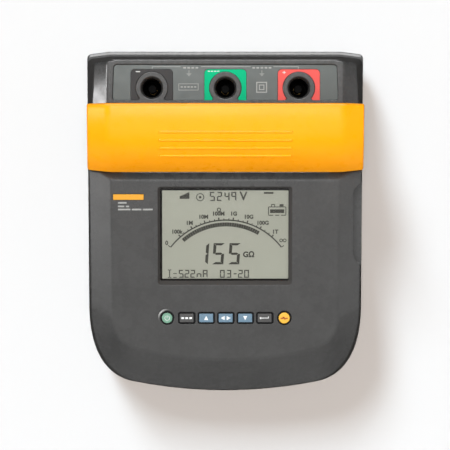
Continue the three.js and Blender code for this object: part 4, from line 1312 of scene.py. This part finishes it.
# Colour, roughness, grain and its depth in millimetres, mottle, wear and specular level
MOULDED = {
    "case_grey": ((0.051, 0.0513, 0.051), 0.27, 0.4, 0.012, 0.05, 0.3),
    # case_shade: darker than case_grey, painted shade for the steep outer sides and the bezel
    "case_shade": ((0.044, 0.042, 0.04), 0.6, 0.4, 0.012, 0.05, 0.1, 0.12),
    "panel_grey": ((0.093, 0.107, 0.103), 0.34, 0.5, 0.008, 0.05, 0.2, 0.25),
    "handle_yellow": ((0.98, 0.36, 0.0015), 0.3, 0.45, 0.010, 0.025, 0.12, 0.2),
    "seal_black": ((0.01, 0.01, 0.01), 0.8, 0.6, 0.02),
    "foot_rubber": ((0.012, 0.012, 0.013), 0.82, 0.8, 0.03, 0.15, 0.5),
    "label_black": ((0.019, 0.018, 0.0185), 0.45, 0.5, 0.006),
    "label_green": ((0.001, 0.43, 0.2), 0.45, 0.5, 0.006, 0.03, 0.1, 0.06),
    "label_red": ((0.72, 0.095, 0.085), 0.45, 0.5, 0.006, 0.03, 0.1, 0.15),
    "insulator_black": ((0.005, 0.005, 0.006), 0.35, 0.6, 0.004),
    # shade_black: near-black, painted shade in the socket bores and round the display
    "shade_black": ((0.002, 0.002, 0.002), 0.7, 0.6, 0.004, 0.05, 0.0, 0.1),
    "lead_black": ((0.01, 0.01, 0.01),),
    "lead_green": ((0.01, 0.2, 0.08),),
    "lead_red": ((0.4, 0.02, 0.02),),
    "key_green": ((0.137, 0.29, 0.205), 0.5, 0.5, 0.01, 0.04, 0.2),
    "key_blue": ((0.113, 0.194, 0.268), 0.5, 0.5, 0.01, 0.04, 0.2),
    "key_dark": ((0.06, 0.06, 0.06), 0.5, 0.5, 0.01, 0.04, 0.3),
    "key_yellow": ((0.74, 0.4, 0.03), 0.5, 0.5, 0.01, 0.04, 0.2),
    "key_mat": ((0.2, 0.21, 0.22), 0.7),
    "backlight_white": ((0.6, 0.61, 0.59),),
    "inner_black": ((0.01, 0.01, 0.011), 0.6, 1.2, 0.05, 0.15, 0.1),
    "badge_yellow": ((0.66, 0.3, 0.006), 0.35, 0.5, 0.003, 0.03, 0.1),
}
MATERIALS = {name: moulded(name, *look) for name, look in MOULDED.items()} | {
    "brass": metallic("brass", (0.62, 0.42, 0.16), 0.25),
    "steel": metallic("steel", (0.55, 0.55, 0.54), 0.3),
    "light_pipe": highlighted_crescent("light_pipe"),
    "window_clear": clear_window("window_clear"),
    "liquid_crystal": crystal("liquid_crystal"),
    "circuit_board": board("circuit_board"),
    "ink_white": printed("ink_white", (0.62, 0.64, 0.63)),
    "ink_bright": printed("ink_bright", (0.8, 0.82, 0.82)),
    "ink_pale": printed("ink_pale", (0.32, 0.33, 0.32)),
    "ink_dark": printed("ink_dark", (0.026, 0.026, 0.019), 0.5),
    "ink_brown": printed("ink_brown", (0.42, 0.09, 0.01)),
}

# ---- Assembly ----


def put(obj, name, slot, *nodes, body="housing", look=None):
    """Finishes a piece: name, shading, material, body, and the CAD nodes it stands for. look is its
    material where that differs from its slot's."""
    obj.name = name
    obj.data.name = name
    shade(obj)
    obj.data.materials.clear()
    obj.data.materials.append(MATERIALS[look or slot])
    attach(obj, body)
    if nodes:
        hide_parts(*nodes)
    return obj


def shade_steep_sides(shell):
    """The steep outer sides and the display's bezel get a darker colour, as painted shade, and a duller
    finish.
    """
    shell.data.materials.append(MATERIALS["case_shade"])
    to_panel = PANEL.inverted()
    x0, y0, x1, y1 = VIEW
    for face in shell.data.polygons:
        x, y, z = face.center / MM
        across, up, above = to_panel @ Vector((x, y, z))
        side = abs(face.normal.z) < 0.4 and (abs(x) > 104 or y > 130 or y < -100)
        bezel = x0 - 5 < across < x1 + 5 and y0 - 5 < up < y1 + 3 and above < -0.25
        face.material_index = int(side or bezel)


def build_housing():
    put(rear_shell(), "rear_shell", "case_grey", "rear_case")
    shade_steep_sides(put(front_shell(), "front_shell", "case_grey", "front_case"))
    put(seal(), "seal_strip", "seal_black", "case_seal")
    put(grip_shell(), "grip_shell", "handle_yellow", "handle_shell")
    put(grip_liner(), "grip_liner", "case_grey", "handle_liner")


def build_sockets():
    top = span("terminal_panel")[1][2]
    label_top = span("terminal_label_guard")[1][2]
    put(field_plate(), "socket_field", "panel_grey", "terminal_panel")
    prints = slab("field_prints", field_shapes(), top - 0.05, top + 0.06)
    put(prints, "field_prints", "panel_grey", look="ink_pale")
    for side, (x, y), slot in zip(SIDES, SOCKETS, ("label_black", "label_green", "label_red")):
        put(label(x, y), f"label_plate_{side}", slot, f"terminal_label_{side}")
        # The shrouds are black insulator; the nearly black colour of them and the caps adds painted shade
        # in the deep bores.
        put(shroud(x, y), f"shroud_{side}", "insulator_black", f"socket_shroud_{side}", look="shade_black")
        put(contact(x, y), f"contact_{side}", "brass", f"socket_contact_{side}")
        put(contact_cap(x, y), f"contact_cap_{side}", "insulator_black", look="shade_black")
        mark = slab("mark", label_shapes(side, x), label_top - 0.05, label_top + 0.06)
        put(mark, f"label_mark_{side}", slot, look="ink_white")


def build_keys():
    slots = ("key_green", "key_dark", "key_blue", "key_blue", "key_blue", "key_dark", "key_yellow")
    inks = {"test_key": "ink_brown", "power_key": "ink_white"}
    for index, (name, slot) in enumerate(zip(KEYS, slots)):
        shade_key_body(put(key_cap(index), name + "_cap", slot, name, body=name))
        icon = slab("icon", icon_shapes(name, *KEY_POINTS[index]), 0.98, 1.16, PANEL)
        put(icon, name + "_sign", slot, body=name, look=inks.get(name, "ink_bright"))
    # The crescent's pale colour is a painted highlight.
    light = plug("indicator", crescent_outline, ((-WALL, -0.1), (0.2, -0.1), (0.45, -0.2)), PANEL)
    put(light, "indicator", "light_pipe", "charge_indicator")


def build_display():
    x0, y0, x1, y1 = VIEW
    sheet = rectangle(x0 - 2, y0 - 2, x1 + 2, y1 + 2, 1)
    # Black mask under the window: a printed border, with wider bands at the top and left as painted shadow
    # of the bezel on the display.
    hole = rectangle(x0 + 1.5, y0 + 1.2, x1 - 0.2, y1 - 2.0, 0.6)
    mask = plug("mask", sheet, ((-5.55, 0), (-5.3, 0)), PANEL)
    cut(mask, plug("hole", hole, ((-7, 0), (-4, 0)), PANEL))
    put(mask, "display_mask", "inner_black", look="shade_black")
    put(display_marks(-5.78, -5.72), "display_marks", "liquid_crystal", look="ink_dark")
    plate = plug("badge", BADGE, ((-0.5, -0.25), (0.12, -0.25), (0.2, -0.35)), PANEL)
    put(plate, "badge", "badge_yellow", "name_plate")
    put(slab("bars", badge_lines(), -0.03, 0.05, PANEL), "badge_bars", "case_grey", look="ink_pale")


def build_side_pocket():
    y, z = INLET[1], INLET[2]
    nose = rectangle(y - 10.6, z - 6.1, y + 10.6, z + 6.1, 3.8, 10)
    face = POCKET_X - 0.4
    body = plug("body", nose, ((90, 0), (face - 0.5, 0), (face - 0.15, -0.15), (face, -0.5)), ALONG_X)
    join(body, plug("flange", rectangle(y - 14, z - 9, y + 14, z + 9, 2), ((101, 0), (103.9, 0)), ALONG_X))
    for side in (-1, 1):
        levels = ((96, 0), (face - 0.4, 0), (face + 0.1, 0.5))
        cut(body, plug("well", disc(y + side * 3.6, z, 4.2), levels, ALONG_X))
    put(body, "inlet_body", "insulator_black", "charge_inlet")
    for index in (1, 2):
        low, high = span(f"inlet_pin_{index}")
        levels = ((low[0], 0), (high[0] - 0.5, 0), (high[0] - 0.1, -0.3), (high[0], -0.7))
        pin = plug("pin", disc(*(low + high)[1:] / 2, 1.2, 24), levels, ALONG_X)
        put(pin, f"inlet_prong_{index}", "steel", f"inlet_pin_{index}")
    low, high = span("infrared_window")
    levels = ((low[0], 0), (high[0] - 0.3, 0), (high[0], -0.3))
    glass = plug("glass", rectangle(*low[1:], *high[1:], 1.3), levels, ALONG_X)
    put(glass, "infrared_lens", "insulator_black", "infrared_window")


def build_feet():
    profile = [(0, 0), (7.2, 0), (7.9, 0.15), (8.5, 0.5), (8.85, 1.05), (9.0, 1.7), (9.0, 5.2), (0, 5.2)]
    for index, (x, y) in enumerate(FEET, 1):
        put(lathe("pad", profile, x, y), f"foot_pad_{index}", "foot_rubber", f"foot_{index}")


def build_screws():
    for index, (x, y) in enumerate(CASE_SCREWS, 1):
        low, high = span(f"case_screw_{index}")
        head = low[2]
        profile = [(0, head), (2.0, head + 0.05), (3.0, head + 0.35), (3.6, head + 0.9), (3.8, head + 1.5),
                   (3.8, head + 2.4), (2.0, head + 2.4), (2.0, high[2]), (0, high[2])]
        bolt = lathe("bolt", profile, x, y, 40)
        for wide, tall in ((2.3, 0.45), (0.45, 2.3)):
            cross = rectangle(x - wide, y - tall, x + wide, y + tall, 0.15, 3)
            cut(bolt, plug("cross", cross, ((head - 1, 0.1), (head + 1.3, -0.15))))
        put(bolt, f"case_bolt_{index}", "steel", f"case_screw_{index}")


def dress_inside():
    """Materials for the CAD nodes that stay as they are."""
    slots = {row["node"]: row["material_slot"] for row in frame["record"]["subparts"]}
    for name, obj in frame["nodes"].items():
        if not obj.hide_render:
            obj.data.materials.clear()
            obj.data.materials.append(MATERIALS[slots[name]])


# ---- Stage ----


FLOOR_TONE = 0.65
FLOOR_GLARE = 0.02  # how pale the floor looks in reflections
ONLY, ALL_BUT = "INCLUDE", "EXCLUDE"
GLOSSY_PIECES = ("socket_field", "grip_shell")


def floor():
    """Wide pale sheet, dimmed in reflections to keep its glare off the instrument's steep sides."""
    reach = 6000
    points = [(x, y, 0) for y in (-reach, reach) for x in (-reach, reach)]
    sheet = new_object("studio_floor", points, [(0, 1, 3, 2)])
    paper = Look("paper")
    seen = paper.patchy(300, 2, tint((FLOOR_TONE,) * 3), tint((FLOOR_TONE,) * 3, 0.99))
    ray = paper.node("LightPath").outputs["Is Glossy Ray"]
    shown = paper.mix(ray, seen, tint((FLOOR_GLARE,) * 3))
    sheet.data.materials.append(paper.finish(Base_Color=shown, Roughness=0.9, Specular_IOR_Level=0.0))
    return sheet


def aimed(name, light, at, target):
    """Places a light and turns it to a target."""
    holder = place(name, light)
    holder.location = at
    holder.rotation_euler = (Vector(target) - Vector(at)).to_track_quat("-Z", "Y").to_euler()
    return holder


def link_receivers(holder, objects, link):
    """Lets a light fall on the objects alone, or on everything else."""
    receivers = bpy.data.collections.new(holder.name + "_receivers")
    for obj in objects:
        receivers.objects.link(obj)
    for entry in receivers.collection_objects:
        entry.light_linking.link_state = link
    holder.light_linking.receiver_collection = receivers


def sun(name, direction, strength, spread, colour, objects, link):
    """Even diffuse light on the objects alone, or on everything but them."""
    light = bpy.data.lights.new(name, "SUN")
    light.energy = strength
    light.angle = math.radians(spread)
    light.color = colour
    holder = aimed(name, light, 3 * Vector(direction), (0, 0, 0))
    holder.visible_glossy = False
    link_receivers(holder, objects, link)


def softbox(name, at, wide, tall, radiance, target, link=ALL_BUT, pieces=()):
    """Rectangle seen only in reflections: in all pieces but those listed, or in those alone."""
    light = bpy.data.lights.new(name, "AREA")
    light.shape = "RECTANGLE"
    light.size = wide
    light.size_y = tall
    light.energy = radiance * math.pi * wide * tall
    holder = aimed(name, light, at, target)
    holder.visible_diffuse = False
    holder.visible_camera = False
    if pieces:
        link_receivers(holder, [bpy.data.objects[piece] for piece in pieces], link)


def lights(sheet):
    for lean_x, lean_y in ((-0.35, 0.6), (-0.4, 0.95)):
        away = Vector((lean_x, lean_y, 1)).normalized()
        sun("floor_key", away, 1.06 / away.z, 14, (0.869, 1.0, 1.095), [sheet], ONLY)
    sun("floor_fill", (0, 0, 1), 2.1, 14, (1.108, 1.0, 0.922), [sheet], ONLY)
    sun("key", (-0.12, 0.2, 0.97), 2.1, 24, (0.95, 1.0, 1.03), [sheet], ALL_BUT)
    sun("overhead", (0, -0.25, 1), 2.15, 70, (1.03, 1.0, 0.97), [sheet], ALL_BUT)
    sun("grip_key", (-0.1, 0.1, 1), 0.3, 24, (1.0, 1.0, 1.0), [bpy.data.objects["grip_shell"]], ONLY)
    softbox("left_box", (-1.3, 0.17, 0.62), 0.2, 0.34, 32, (-0.1, 0.11, 0.11), ALL_BUT, ["grip_shell"])
    softbox("left_grip_box", (-1.3, 0.22, 0.7), 0.3, 0.5, 9, (-0.1, 0.11, 0.11), ONLY, ["grip_shell"])
    softbox("left_low_box", (-1.3, -0.1, 1.13), 0.5, 0.5, 3.0, (-0.1, 0, 0.1))
    softbox("right_box", (1.3, -0.28, 1.13), 0.6, 0.6, 0.65, (0.1, 0, 0.1))
    softbox("right_far_box", (1.3, 0.17, 0.62), 0.4, 0.4, 0.55, (0.1, 0.11, 0.11))
    softbox("front_box", (0, -1.5, 0.35), 3.0, 0.5, 0.45, (0, -0.12, 0.1))
    softbox("back_box", (0, 1.9, 0.75), 2.6, 0.9, 11, (0, 0.14, 0.06))
    softbox("panel_box", (0, -0.05, 1.6), 1.8, 0.4, 1.0, (0, -0.05, 0), ALL_BUT, GLOSSY_PIECES)
    softbox("top_box", (0, 0.62, 1.6), 1.8, 0.95, 1.4, (0, 0, 0.08), ALL_BUT, GLOSSY_PIECES)
    softbox("gloss_box", (-0.12, 0.62, 1.6), 0.34, 0.95, 12, (0, 0, 0.08), ONLY, GLOSSY_PIECES)
    bpy.context.scene.view_settings.view_transform = "Standard"


def sky():
    """White to the camera, soft warm light from above the horizon, and dark below it."""
    world = bpy.data.worlds.new("studio")
    bpy.context.scene.world = world
    nodes = Nodes(world)
    parts = nodes.node("SeparateXYZ", nodes.node("TexCoord").outputs["Generated"])
    ramp = nodes.node("MapRange", Value=parts.outputs["Z"], From_Min=-0.05, From_Max=0.1, To_Max=0.2)
    camera_ray = nodes.node("LightPath").outputs["Is Camera Ray"]
    seen = nodes.node("Math", ramp.outputs["Result"], camera_ray, operation="MAXIMUM")
    background = nodes.tree.nodes["Background"]
    nodes.fill(background, Color=(1.0, 0.93, 0.89, 1), Strength=seen.outputs[0])


def camera():
    """Straight above the instrument, a little off its middle, with the frame shifted to centre it."""
    lens = bpy.data.cameras.new("camera")
    lens.sensor_width = 36
    lens.lens = 148.88
    lens.shift_x, lens.shift_y = 0.0125, -0.0213
    holder = place("camera", lens)
    holder.location = (-0.005, 0.005, 1.671)
    bpy.context.scene.camera = holder


build_housing()
build_sockets()
build_keys()
build_display()
build_side_pocket()
build_feet()
build_screws()
dress_inside()
lights(floor())
sky()
camera()
